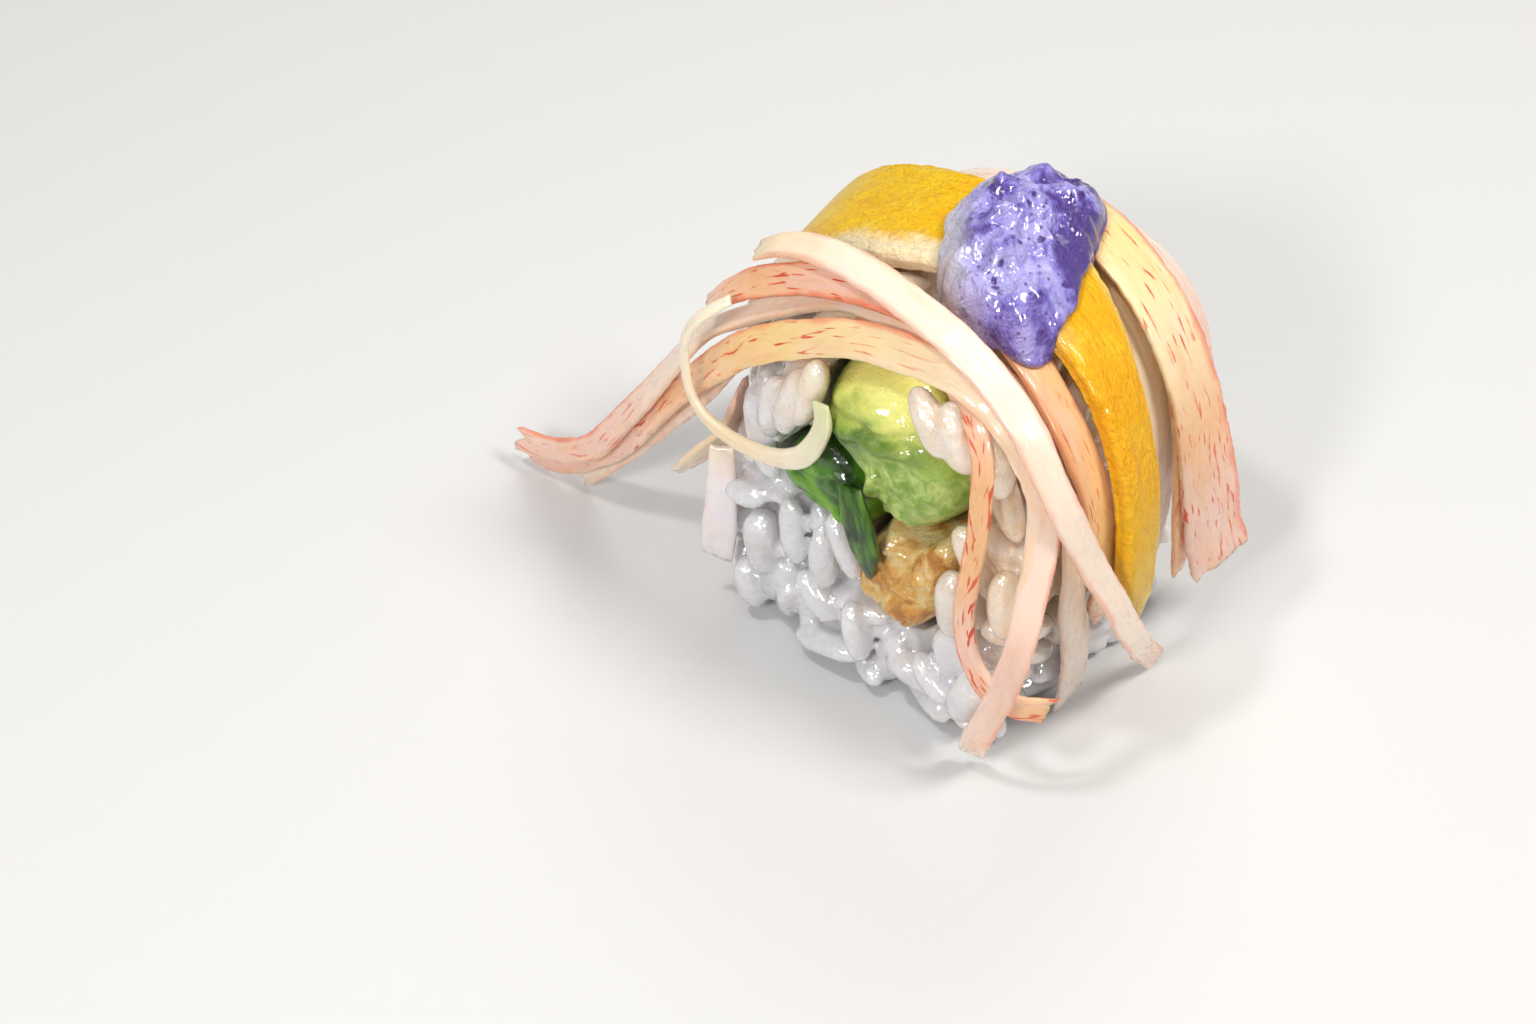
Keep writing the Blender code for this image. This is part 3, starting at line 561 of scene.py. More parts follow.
def grain_body(bm, centre, direction, length, thickness, rng):
    """Add one plump grain, slightly bent and flattened, to a mesh."""
    turn = Vector((0, 0, 1)).rotation_difference(direction)
    spin = Quaternion(direction, rng.uniform(0, math.tau)) @ turn
    bend = rng.uniform(-0.35, 0.35)
    flat = rng.uniform(0.8, 0.95)
    tip = rng.uniform(-0.12, 0.12)
    seed = rng.uniform(0, 50)
    radius = thickness / 2 * GRAIN_SLIMNESS * rng.uniform(0.9, 1.08)
    length *= GRAIN_STRETCH
    rows = []
    for i in range(1, GRAIN_RINGS):
        t = -math.cos(math.pi * i / GRAIN_RINGS)
        wide = (1 - abs(t) ** 2.6) ** 0.5 * (1 + tip * t)
        row = []
        for k in range(GRAIN_AROUND):
            a = math.tau * k / GRAIN_AROUND
            dent = 1 - 0.1 * math.exp(-((a - math.pi) / 0.5) ** 2) * (1 - t * t)
            dent += 0.06 * wander(math.cos(a) * 1.3, math.sin(a) * 1.3, t * 1.6 + seed)
            x = math.cos(a) * wide * radius * dent * flat + bend * (1 - t * t)
            y = math.sin(a) * wide * radius * dent
            row.append(bm.verts.new(centre + spin @ Vector((x, y, t * length / 2))))
        rows.append(row)
    poles = [bm.verts.new(centre + spin @ Vector((0, 0, end * length / 2))) for end in (-1, 1)]
    for k in range(GRAIN_AROUND):
        j = (k + 1) % GRAIN_AROUND
        bm.faces.new((rows[0][j], rows[0][k], poles[0]))
        bm.faces.new((rows[-1][k], rows[-1][j], poles[1]))
        for low, high in zip(rows, rows[1:]):
            bm.faces.new((low[k], low[j], high[j], high[k]))


# Fillings: outlines across the cut face, as x and z, with the borders that they share.

AVOCADO_TO_SLICE = [(0.0, 29.8), (2.6, 27.2)]
AVOCADO_TO_FISH = [(6.6, 23.6), (9.2, 23.8)]
SLICE_TO_FISH = [(4.0, 21.6)]
WEST = (-3.2, 30.6)
EAST = (12.2, 26.8)
SOUTH = (1.6, 19.2)
MIDDLE = (3.8, 24.6)
AROUND_AVOCADO = [(-3.9, 33.8), (-3.4, 37.2), (0.2, 40.9), (5.0, 42.0), (8.0, 40.8),
                  (9.6, 38.3), (12.1, 35.9), (14.0, 33.3), (13.8, 30.0)]
AROUND_FISH = [(13.6, 23.8), (12.8, 17.2), (10.4, 12.6), (7.5, 9.2), (3.8, 11.0), (-0.6, 13.0)]
AROUND_SLICE = [(-0.2, 20.6), (-3.0, 20.2), (-6.2, 20.4), (-9.8, 22.4), (-6.6, 27.0)]

AVOCADO_OUTLINE = [WEST, *AROUND_AVOCADO, EAST, *reversed(AVOCADO_TO_FISH), MIDDLE,
                   *reversed(AVOCADO_TO_SLICE)]
SLICE_OUTLINE = [WEST, *AVOCADO_TO_SLICE, MIDDLE, *SLICE_TO_FISH, SOUTH, *AROUND_SLICE]
FISH_OUTLINE = [MIDDLE, *AVOCADO_TO_FISH, EAST, *AROUND_FISH, SOUTH, *reversed(SLICE_TO_FISH)]
TUNNEL_OUTLINE = [WEST, *AROUND_AVOCADO, EAST, *AROUND_FISH, SOUTH, *AROUND_SLICE]


def shifted(outline, distance):
    """The clockwise outline moved outwards by a distance, or inwards where it is negative."""
    moved = []
    for before, here, after in zip(outline[-1:] + outline, outline, outline[1:] + outline[:1]):
        first = (Vector(here) - Vector(before)).normalized()
        second = (Vector(after) - Vector(here)).normalized()
        corner = Vector((-first.y - second.y, first.x + second.x))
        corner *= distance / max(0.5, 1 + first.dot(second))
        moved.append((here[0] + corner.x, here[1] + corner.y))
    return moved


def evenly(outline, spacing):
    """The closed outline as evenly spaced points."""
    loop = [Vector((x, z, 0)) for x, z in outline + outline[:1]]
    total = sum((b - a).length for a, b in zip(loop, loop[1:]))
    count = round(total / spacing)
    points = []
    i = 0
    gone = 0.0
    for k in range(count):
        target = total * k / count
        while gone + (loop[i + 1] - loop[i]).length < target:
            gone += (loop[i + 1] - loop[i]).length
            i += 1
        point = loop[i].lerp(loop[i + 1], (target - gone) / (loop[i + 1] - loop[i]).length)
        points.append((point.x, point.y))
    return points


def narrowing(share):
    """1 in the middle of a rounded bar and 0 at its ends, at shares -1 and 1."""
    return (1 - abs(share) ** FACE_EXPONENT) ** (1 / FACE_EXPONENT)


def fine_filling(outline, front, back, relief):
    """A filling through the roll; relief(x, z) stands out of its cut faces."""
    outline = evenly(shifted(rounded(outline, 3), -GAP / 2), FILLING_SPACING)
    middle_x = sum(x for x, _ in outline) / len(outline)
    middle_z = sum(z for _, z in outline) / len(outline)
    face = [(-narrowing(i / FACE_STEPS), i / FACE_STEPS) for i in range(1, FACE_STEPS)]
    side = [(a, narrowing(a)) for a in (-0.7, -0.35, 0, 0.35, 0.7)]
    profile = face + side + [(-a, w) for a, w in reversed(face[::2])]
    half = (back - front) / 2
    rings = []
    for along, width in profile:
        ring = []
        for x, z in outline:
            here_x = middle_x + (x - middle_x) * width
            here_z = middle_z + (z - middle_z) * width
            y = (front + back) / 2 + along * half
            stand = relief(here_x, here_z) * ease(0.75, 0.97, abs(along))
            y += math.copysign(stand, along)
            squeeze = 0.985 + 0.015 * wander(here_x * 0.5, y * 0.3, here_z * 0.5)
            ring.append(Vector((middle_x + (here_x - middle_x) * squeeze, y,
                                middle_z + (here_z - middle_z) * squeeze)))
        rings.append(ring)
    return loft(rings)


def avocado_relief(x, z):
    """Two soft masses with a fold between them; the lower one is crushed and lumpy."""
    fold = z - (34.2 + 0.18 * x + 0.9 * wander(x * 0.3, 4))
    stand = 0.5 * wander(x * 0.16 + 2, z * 0.16) + 0.3 * wander(x * 0.45, z * 0.45, 3)
    stand -= 1.3 * math.exp(-(fold / 1.3) ** 2) * ease(12, 7, x)
    stand += 0.7 * math.exp(-((fold - 2.6) / 1.6) ** 2) * ease(11, 6, x)
    crushed = ease(34, 31, z) * ease(3, 5.5, x)
    stand += crushed * (0.5 + 0.55 * wander(x * 0.8, z * 0.8, 5) + 0.28 * wander(x * 2, z * 2))
    crease = math.exp(-((x - 4.2 - 0.3 * (z - 30)) / 0.7) ** 2) * ease(32, 30, z)
    return stand - 1.2 * crease


def slice_relief(x, z):
    """Cut planes with sharp creases between them."""
    return abs(wander(x * 0.3 + 1, z * 0.3)) * 1.3 - 0.3 + 0.2 * wander(x * 0.9, z * 0.9, 2)


def fish_relief(x, z):
    """Flakes and crags of fried fish."""
    flake = 1.0 - 2.2 * abs(wander(x * 0.32 + 4, z * 0.2))
    crag = 0.6 * wander(x * 0.8, z * 0.6, 8) + 0.35 * wander(x * 1.9, z * 1.6, 4)
    return 0.8 * flake + crag - 0.2


def tunnel():
    """A body through the roll that leaves room for the fillings."""
    outline = shifted(rounded(TUNNEL_OUTLINE), GAP / 2)
    reach = ROLL_LENGTH
    return loft([[Vector((x, y, z)) for x, z in outline] for y in (-reach, reach)])


# Sauce: its outline from above, as x and y.

SAUCE_OUTLINE = [(-0.8, 6.8), (2.2, 9.4), (3.4, 11.4), (6.8, 11.8), (9.8, 10.4), (11.4, 6.2),
                 (13.2, 1.8), (14.8, -1.8), (15.8, -6.0), (14.2, -8.6), (10.2, -9.0), (5.6, -8.2),
                 (2.6, -5.4), (0.0, -1.2), (-0.8, 3.0)]
SAUCE_CENTRE = (7.4, 1.4)
SAUCE_BASE = 3.2
SAUCE_HEIGHT = 5.0
SAUCE_LUMP = 1.3


def outline_reach(outline, centre, angle):
    """Distance from a centre to a closed outline in one direction."""
    direction = Vector((math.cos(angle), math.sin(angle)))
    reach = 0.0
    for a, b in zip(outline, outline[1:] + outline[:1]):
        start = Vector(a) - Vector(centre)
        edge = Vector(b) - Vector(a)
        spread = direction.cross(edge)
        if abs(spread) < 1e-9:
            continue
        distance = start.cross(edge) / spread
        share = start.cross(direction) / spread
        if distance > reach and -1e-6 <= share <= 1 + 1e-6:
            reach = distance
    return reach


def sauce_dollop(pile):
    """The dollop with ridges, pits and a thin wet lip, lying on what is below it."""
    bm = bmesh.new()
    bmesh.ops.create_uvsphere(bm, u_segments=SAUCE_AROUND, v_segments=SAUCE_RINGS, radius=1)
    up = Vector((0, 0, 1))
    outline = rounded(SAUCE_OUTLINE, 3)
    place = []
    for vert in bm.verts:
        spread = min(1.0, math.hypot(vert.co.x, vert.co.y))
        angle = math.atan2(vert.co.y, vert.co.x)
        around = (math.cos(angle), math.sin(angle))
        ragged = 1 + 0.05 * wander(around[0] * 2.6, around[1] * 2.6, 4.0)
        ragged += 0.03 * wander(around[0] * 6, around[1] * 6, 9.0)
        reach = outline_reach(outline, SAUCE_CENTRE, angle) * spread * ragged
        x = SAUCE_CENTRE[0] + reach * math.cos(angle)
        y = SAUCE_CENTRE[1] + reach * math.sin(angle)
        tops = [pile.height(Vector((x + dx, y + dy, ROLL_HEIGHT)), up) or 0
                for dx in (-0.5, 0, 0.5) for dy in (-0.5, 0, 0.5)]
        rest = ROLL_HEIGHT + max(tops) + 0.1
        roll_top = ROLL_HEIGHT + pile.height(Vector((x, y, ROLL_HEIGHT)), up, ["rice"])
        dome = (1 - spread ** 4) ** 0.5
        lump = SAUCE_LUMP * wander(x * 0.3, y * 0.3, 3.7)
        lump += 1.4 * wander(x * 0.45, y * 0.45, 8.1) + 0.45 * wander(x * 1.1, y * 1.1, 2.2)
        lump -= 0.9 * abs(wander(x * 0.38 + 3, y * 0.7, 6.4)) - 0.2 * wander(x * 2.1, y * 2.1, 1.4)
        height = rest
        if vert.co.z > 0.01:
            height = roll_top + SAUCE_BASE + (SAUCE_HEIGHT + lump) * dome
            height = max(height, rest + 0.4 + dome)
        elif vert.co.z > -0.01:
            height = rest + 0.3
        place.append((spread, 0.0, 0.0))
        vert.co = Vector((x, y, height))
    return close_up(bm), {"place": place}


# Materials

COAT_ROUGHNESS = 0.07
SPECULAR = 0.35
FOOD_IOR = 1.4


class Look:
    """A Principled material and short ways to add the nodes that colour it."""

    def __init__(self, name, roughness, coat=0.0, subsurface=0.0, radius=(1, 0.5, 0.3), depth=1.0):
        self.material = bpy.data.materials.new(name)
        self.material.use_nodes = True
        self.tree = self.material.node_tree
        self.shader = self.tree.nodes["Principled BSDF"]
        self.set("Roughness", roughness)
        self.set("Coat Weight", coat)
        self.set("Coat Roughness", COAT_ROUGHNESS)
        self.set("Specular IOR Level", SPECULAR)
        self.set("Subsurface Weight", subsurface)
        self.set("Subsurface Radius", radius)
        self.set("Subsurface Scale", depth * MM)
        self.set("IOR", FOOD_IOR)

    def put(self, target, value):
        """Link a socket to an input, or set the input to a value."""
        if isinstance(value, bpy.types.NodeSocket):
            self.tree.links.new(value, target)
        else:
            target.default_value = value

    def set(self, name, value):
        """Link or set one of the shader's inputs."""
        self.put(self.shader.inputs[name], value)

    def node(self, kind, inputs, output=0, **settings):
        """Add a node with inputs that are sockets or values, and give one of its outputs."""
        node = self.tree.nodes.new(kind)
        for key, value in settings.items():
            setattr(node, key, value)
        for key, value in inputs.items():
            self.put(node.inputs[key], value)
        return node.outputs[output]

    def maths(self, operation, *values):
        """What an operation makes of up to three values."""
        return self.node("ShaderNodeMath", dict(enumerate(values)), operation=operation)

    def times(self, a, b, plus=None):
        """a times b, plus a third value where one is given."""
        if plus is None:
            return self.maths("MULTIPLY", a, b)
        return self.maths("MULTIPLY_ADD", a, b, plus)

    def scaled(self, vector, factors, shift=(0, 0, 0)):
        """A vector with its parts multiplied, and then shifted."""
        return self.node("ShaderNodeMapping",
                         {"Vector": vector, "Scale": factors, "Location": shift})

    def position(self):
        """Object coordinates in millimetres, as one socket."""
        where = self.node("ShaderNodeTexCoord", {}, "Object")
        return self.scaled(where, (1 / MM, 1 / MM, 1 / MM))

    def distance(self, vector, place):
        """How far a vector is from a place."""
        return self.node("ShaderNodeVectorMath", {0: vector, 1: place}, "Value",
                         operation="DISTANCE")

    def mark(self, name):
        """A vector kept on the mesh's points."""
        return self.node("ShaderNodeAttribute", {}, "Vector", attribute_name=name)

    def split(self, vector):
        """The three parts of a vector."""
        return self.node("ShaderNodeSeparateXYZ", {0: vector}).node.outputs[:]

    def noise(self, vector, scale, detail=2.0, rough=0.5, warp=0.0):
        """Cloudy values, mostly between 0.3 and 0.7."""
        return self.node("ShaderNodeTexNoise",
                         {"Vector": vector, "Scale": scale, "Detail": detail,
                          "Roughness": rough, "Distortion": warp})

    def streaks(self, vector, factors, shift=(0, 0, 0), **settings):
        """Noise with its own scale for each of a vector's first two parts."""
        return self.noise(self.scaled(vector, (*factors, 1), shift), 1.0, **settings)

    def specks(self, vector, scale):
        """Distance to scattered points."""
        return self.node("ShaderNodeTexVoronoi", {"Vector": vector, "Scale": scale}, "Distance")

    def step(self, value, low, high):
        """0 to 1 as value goes from low to high."""
        return self.node("ShaderNodeMapRange", {0: value, 1: low, 2: high},
                         interpolation_type="SMOOTHSTEP")

    def ramp(self, value, colours):
        """Evenly spaced colours by a value from 0 to 1."""
        colour = self.node("ShaderNodeValToRGB", {0: value})
        stops = colour.node.color_ramp.elements
        stops[0].position = 0
        stops[1].position = 1
        for i in range(1, len(colours) - 1):
            stops.new(i / (len(colours) - 1))
        for stop, stop_colour in zip(stops, colours):
            stop.color = (*stop_colour, 1)
        return colour

    def mix(self, share, a, b):
        """Colour a where the share is 0, and b where it is 1."""
        a, b = ((*item, 1) if isinstance(item, tuple) else item for item in (a, b))
        return self.node("ShaderNodeMix", {0: share, 6: a, 7: b}, 2, data_type="RGBA")

    def tint(self, base, colour, share, strength):
        """The base with a colour over it, as far as share times strength says."""
        return self.mix(self.times(share, strength), base, colour)

    def bump(self, height, distance):
        """Fine relief that is shaded only; the distance is in millimetres."""
        self.set("Normal", self.node("ShaderNodeBump", {
            "Strength": 1.0, "Distance": distance * MM, "Height": height}))


WHITE = (0.95, 0.77, 0.63)
PINK = (0.93, 0.60, 0.48)
BLUSH = (0.88, 0.24, 0.12)
PEACH = (0.93, 0.52, 0.26)
CREAM = (0.96, 0.75, 0.48)
YELLOW = (0.95, 0.66, 0.28)
GREY = (0.86, 0.74, 0.63)
VEIN = (0.74, 0.10, 0.03)
PALE_CREAM = (0.95, 0.82, 0.64)
COOL_WHITE = (0.90, 0.84, 0.86)
GREEN_WHITE = (0.72, 0.72, 0.42)


def crab_look(name, seed, colours, veins, edge, side=0, chevron=0.0, until=2.0):
    """Moist crab stick: colours along the band, wavy broken veins that swell, and redder edges.

    side is the edge that is red, or 0 for both; chevron bends the veins into arrow shapes, and
    the veins fade out past a place along the band.
    """
    look = Look(name, 0.34, coat=0.35, subsurface=0.3, radius=(1, 0.5, 0.35))
    flow = look.mark("flow")
    s, across, _ = look.split(flow)
    t, edgeward, _ = look.split(look.mark("place"))
    mottled = look.streaks(flow, (0.12, 0.5), (seed, 3, 0))
    base = look.tint(look.ramp(t, colours), WHITE, look.step(mottled, 0.5, 0.75), 0.4)
    warm = look.streaks(flow, (0.1, 0.45), (seed, 7, 2))
    base = look.tint(base, PEACH, look.step(warm, 0.5, 0.7), 0.55 * max(veins, edge))

    sway = look.streaks(flow, (0.16, 0.08), (seed, 0, seed), detail=0.6)
    if chevron:
        arrow = look.times(look.maths("ABSOLUTE", across), chevron)
        rank = look.times(s, 0.26, plus=look.times(sway, 1.2, plus=arrow))
        swell = 0.19
    else:
        rank = look.times(sway, 2.6, plus=look.times(across, 0.66))
        swell = 0.12
    kept = look.step(look.streaks(flow, (0.26, 0.8), (0, seed, 0)), 0.44, 0.70)
    rough_edge = look.streaks(flow, (1.6, 3.0), (seed, 2, 0))
    near = look.times(rough_edge, 0.07, plus=look.maths("PINGPONG", rank, 0.5))
    line = look.step(look.maths("SUBTRACT", near, look.times(kept, swell)), 0.035, -0.03)
    stroke = look.streaks(flow, (0.3, 2.6), (seed, 5, 0), detail=0.5)
    line = look.maths("MAXIMUM", line, look.step(stroke, 0.655, 0.715))
    faint = look.streaks(flow, (0.3, 0.5), (4, seed, 0))
    line = look.times(line, look.step(faint, 0.3, 0.55))
    line = look.times(line, look.step(t, until, until - 0.15))

    towards = look.times(edgeward, side) if side else look.maths("ABSOLUTE", edgeward)
    patchy = look.streaks(flow, (0.22, 0.3), (seed, 9, 4))
    reach = look.times(patchy, 0.7, plus=look.maths("SUBTRACT", towards, 0.35))
    base = look.tint(base, BLUSH, look.step(reach, 0.66, 1.0), edge)
    look.set("Base Color", look.tint(base, VEIN, line, veins))
    fibres = look.streaks(flow, (0.18, 1.5), (seed, 0, seed), detail=3)
    beads = look.streaks(flow, (0.9, 2.4), (seed, 4, seed))
    look.bump(look.times(beads, 0.3, plus=fibres), 0.11)
    rough = look.step(look.streaks(flow, (0.5, 1.5)), 0.3, 0.7)
    look.set("Roughness", look.times(rough, 0.16, plus=0.22))
    return look.material


# Near-black spots on the cut face: the first and last are a small nori flake, and the other two are
# painted shade in gaps below the avocado slice and under the fish.
DARK_SPOTS = [(-0.3, -15.4, 23.1), (-3.4, -15.4, 16.7), (10.6, -15.2, 13.4), (0.9, -15.4, 22.4)]


def rice_look():
    """Cooked rice: milky, wet and translucent, with painted warm light near the top, painted cool
    shade at the foot and painted shade in the crevices.
    """
    look = Look("rice_grains", 0.14, coat=1.0, subsurface=0.7, radius=(1, 0.93, 0.82), depth=2.4)
    look.set("Coat IOR", 1.8)
    look.set("Coat Roughness", 0.1)
    where = look.position()
    shade, from_grain, _ = look.split(look.mark("tint"))
    x, _, z = look.split(where)
    # Painted light: warm light towards the top and right, and cool shade towards the foot.
    warm = look.step(look.times(x, 0.8, plus=z), 20, 38)
    base = look.mix(warm, (0.73, 0.72, 0.75), (0.91, 0.71, 0.50))
    base = look.tint(base, (0.58, 0.58, 0.59), shade, 0.3)
    milky = look.step(look.noise(where, 0.45, detail=3), 0.42, 0.68)
    base = look.tint(base, (0.90, 0.88, 0.86), milky, 0.4)
    # Painted shade: darker in the crevices, away from the grains' axes.
    base = look.tint(base, (0.46, 0.44, 0.42), look.step(from_grain, 1.5, 2.6), 0.7)
    wavy = look.noise(look.scaled(where, (0.9, 0.9, 1.1)), 1.2)
    # Near-black spots: a nori flake, and painted shade in two gaps.
    for spot in DARK_SPOTS:
        bent = look.times(wavy, 2.0, plus=look.distance(where, spot))
        base = look.mix(look.step(bent, 2.0, 1.7), base, (0.012, 0.015, 0.012))
    look.set("Base Color", base)
    dents = look.noise(where, 1.0, detail=3)
    look.bump(look.times(look.noise(where, 3.2), 0.7, plus=dents), 0.2)
    return look.material


def avocado_look():
    """Ripe avocado: yellow at the top, painted shade along a fold, then bright lumps, and painted
    shade towards its left.
    """
    look = Look("avocado_flesh", 0.3, coat=0.6, subsurface=0.3, radius=(0.8, 1, 0.3))
    where = look.position()
    x, _, z = look.split(where)
    turned = look.maths("SUBTRACT", look.noise(where, 0.24, detail=3.5, warp=0.7), 0.5)
    level = look.times(turned, 7.0, plus=z)
    base = look.mix(look.step(level, 34.5, 40.0), (0.38, 0.54, 0.06), (1.0, 0.97, 0.28))
    mottled = look.noise(where, 0.7, detail=4, rough=0.6, warp=0.4)
    lumps = look.mix(look.step(mottled, 0.35, 0.68), (0.23, 0.39, 0.04), (0.54, 0.66, 0.18))
    base = look.mix(look.step(level, 35.5, 32.5), base, lumps)
    # Painted shade along the fold between the two masses.
    fold = look.maths("SUBTRACT", level, look.times(x, 0.18, plus=34.0))
    fold = look.step(look.maths("ABSOLUTE", fold), 2.4, 0.2)
    fold = look.times(fold, look.step(x, 12.0, 7.0))
    base = look.tint(base, (0.10, 0.21, 0.015), fold, 0.8)
    # Painted shade towards the left, below the top.
    leftward = look.times(turned, 8.0, plus=x)
    left = look.times(look.step(leftward, 4.6, 0.5), look.step(level, 38.5, 34.5))
    look.set("Base Color", look.tint(base, (0.085, 0.20, 0.012), left, 0.85))
    coarse = look.noise(where, 0.9, detail=5, rough=0.6)
    look.bump(look.times(look.noise(where, 3.4), 0.3, plus=coarse), 0.42)
    return look.material


def slice_look():
    """The darker outer part of the avocado: bright green with nearly black folds."""
    look = Look("avocado_edge", 0.3, coat=0.5, subsurface=0.2, radius=(0.4, 1, 0.2))
    where = look.position()
    x, _, z = look.split(where)
    folds = look.noise(where, 0.3, detail=4, warp=0.8)
    depth = look.times(look.step(z, 23, 30), -0.28, plus=folds)
    depth = look.times(look.step(x, -6.0, -9.5), 0.1, plus=depth)
    greens = [(0.008, 0.03, 0.001), (0.03, 0.10, 0.004), (0.08, 0.24, 0.01), (0.20, 0.42, 0.03)]
    look.set("Base Color", look.ramp(look.step(depth, 0.15, 0.62), greens))
    look.bump(look.noise(where, 0.8, detail=4), 0.25)
    return look.material


def leaf_look():
    """A dark green leaf with streaks along it."""
    look = Look("leaf_green", 0.34, coat=0.3, subsurface=0.15, radius=(0.3, 1, 0.1), depth=0.8)
    flow = look.mark("flow")
    streaks = look.streaks(flow, (0.25, 0.9), detail=3, warp=0.4)
    greens = [(0.008, 0.03, 0.001), (0.02, 0.08, 0.002), (0.05, 0.15, 0.003), (0.12, 0.25, 0.010)]
    look.set("Base Color", look.ramp(look.step(streaks, 0.3, 0.72), greens))
    look.bump(look.streaks(flow, (0.6, 1.4), detail=4), 0.25)
    return look.material


def fish_look():
    """Fried fish: golden flakes, pale on their crests and brown in the hollows and at the skin."""
    look = Look("fried_fish", 0.36, coat=0.45, subsurface=0.25, radius=(1, 0.5, 0.2))
    where = look.position()
    x, _, z = look.split(where)
    flakes = look.noise(where, 0.42, detail=6, rough=0.6, warp=0.6)
    base = look.ramp(look.step(flakes, 0.32, 0.68),
                     [(0.52, 0.20, 0.03), (0.78, 0.38, 0.07), (0.90, 0.53, 0.14),
                      (0.96, 0.74, 0.34)])
    pale = look.times(look.step(z, 19.5, 23.0), look.step(flakes, 0.4, 0.55))
    base = look.tint(base, (0.94, 0.76, 0.38), pale, 0.4)
    uneven = look.times(look.noise(where, 0.8, detail=3), 1.6, plus=z)
    skin = look.step(look.times(x, 0.95, plus=uneven), 17.0, 15.6)
    look.set("Base Color", look.tint(base, (0.30, 0.11, 0.02), skin, 0.85))
    look.bump(look.noise(where, 1.2, detail=6, rough=0.65), 0.6)
    return look.material


def mango_look():
    """Wet ripe mango: golden, deeper orange at the right, with a pale margin at the front."""
    look = Look("mango_slice", 0.34, coat=0.2, subsurface=0.15, radius=(1, 0.6, 0.1), depth=0.8)
    look.set("Specular IOR Level", 0.2)
    flow = look.mark("flow")
    t, edgeward, _ = look.split(look.mark("place"))
    pulp = look.streaks(flow, (0.22, 0.42), detail=5, rough=0.6, warp=0.8)
    fibres = look.streaks(flow, (0.3, 1.5), detail=4, rough=0.6, warp=0.6)
    base = look.ramp(t, [(0.97, 0.57, 0.004), (0.98, 0.60, 0.003), (0.97, 0.56, 0.003),
                         (0.95, 0.47, 0.003), (0.94, 0.44, 0.003), (0.92, 0.50, 0.006),
                         (0.82, 0.64, 0.14)])
    base = look.tint(base, (0.98, 0.70, 0.03), look.step(pulp, 0.5, 0.7), 0.5)
    base = look.tint(base, (0.86, 0.34, 0.004), look.step(pulp, 0.45, 0.28), 0.5)
    base = look.tint(base, (0.98, 0.76, 0.08), look.step(fibres, 0.57, 0.72), 0.25)
    rippled = look.times(look.maths("SUBTRACT", pulp, 0.5), 0.6, plus=edgeward)
    margin = look.step(rippled, 0.42, 0.85)
    base = look.tint(base, (0.96, 0.80, 0.50), margin, look.step(t, 0.62, 0.5))
    rim = look.times(look.step(edgeward, -0.72, -0.9), look.step(t, 0.4, 0.5))
    look.set("Base Color", look.tint(base, (0.96, 0.72, 0.20), rim, 0.6))
    coarse = look.streaks(flow, (0.6, 1.0), detail=6, rough=0.62)
    beads = look.streaks(flow, (1.6, 2.4), detail=3)
    coarse = look.times(beads, 0.5, plus=coarse)
    look.bump(look.times(fibres, 0.6, plus=coarse), 0.7)
    return look.material


def sauce_look():
    """Creamy violet sauce with dark clumps and specks, and a milky lip at its left."""
    look = Look("violet_sauce", 0.16, coat=0.9, subsurface=0.25, radius=(0.6, 0.5, 1), depth=0.8)
    where = look.position()
    spread, _, _ = look.split(look.mark("place"))
    x, y, _ = look.split(where)
    cloud = look.noise(where, 0.2, detail=4, rough=0.6, warp=0.8)
    rightward = look.step(look.times(y, 0.84, plus=x), 9.5, 15.5)
    shade = look.times(rightward, -0.19, plus=cloud)
    base = look.ramp(look.step(shade, 0.33, 0.6),
                     [(0.08, 0.04, 0.25), (0.17, 0.12, 0.47), (0.27, 0.22, 0.63),
                      (0.36, 0.32, 0.71), (0.44, 0.40, 0.76)])
    jagged = look.times(look.noise(where, 0.8), 0.5, plus=look.specks(where, 0.62))
    dots = look.step(jagged, 0.60, 0.46)
    scattered = look.step(look.noise(where, 0.3), 0.46, 0.54)
    base = look.tint(base, (0.08, 0.03, 0.22), dots, scattered)
    small = look.step(look.specks(where, 1.4), 0.34, 0.2)
    small = look.times(small, look.step(look.noise(where, 0.5), 0.44, 0.56))
    base = look.tint(base, (0.10, 0.04, 0.26), small, 0.8)
    wavy = look.times(cloud, 6.0, plus=look.times(y, 0.8, plus=x))
    lip = look.times(look.step(wavy, 6.4, 2.4), look.step(spread, 0.55, 0.9))
    look.set("Base Color", look.tint(base, (0.62, 0.60, 0.70), lip, 0.9))
    coarse = look.noise(where, 0.9, detail=5, rough=0.6)
    look.bump(look.times(look.noise(where, 2.6), 0.5, plus=coarse), 0.6)
    return look.material


# Bands, as in the solids, from the first laid to the last: name, widths and twists from end to
# end, thickness, and the route from the left end to the right. Two have points round the section
# and a wave of their own.

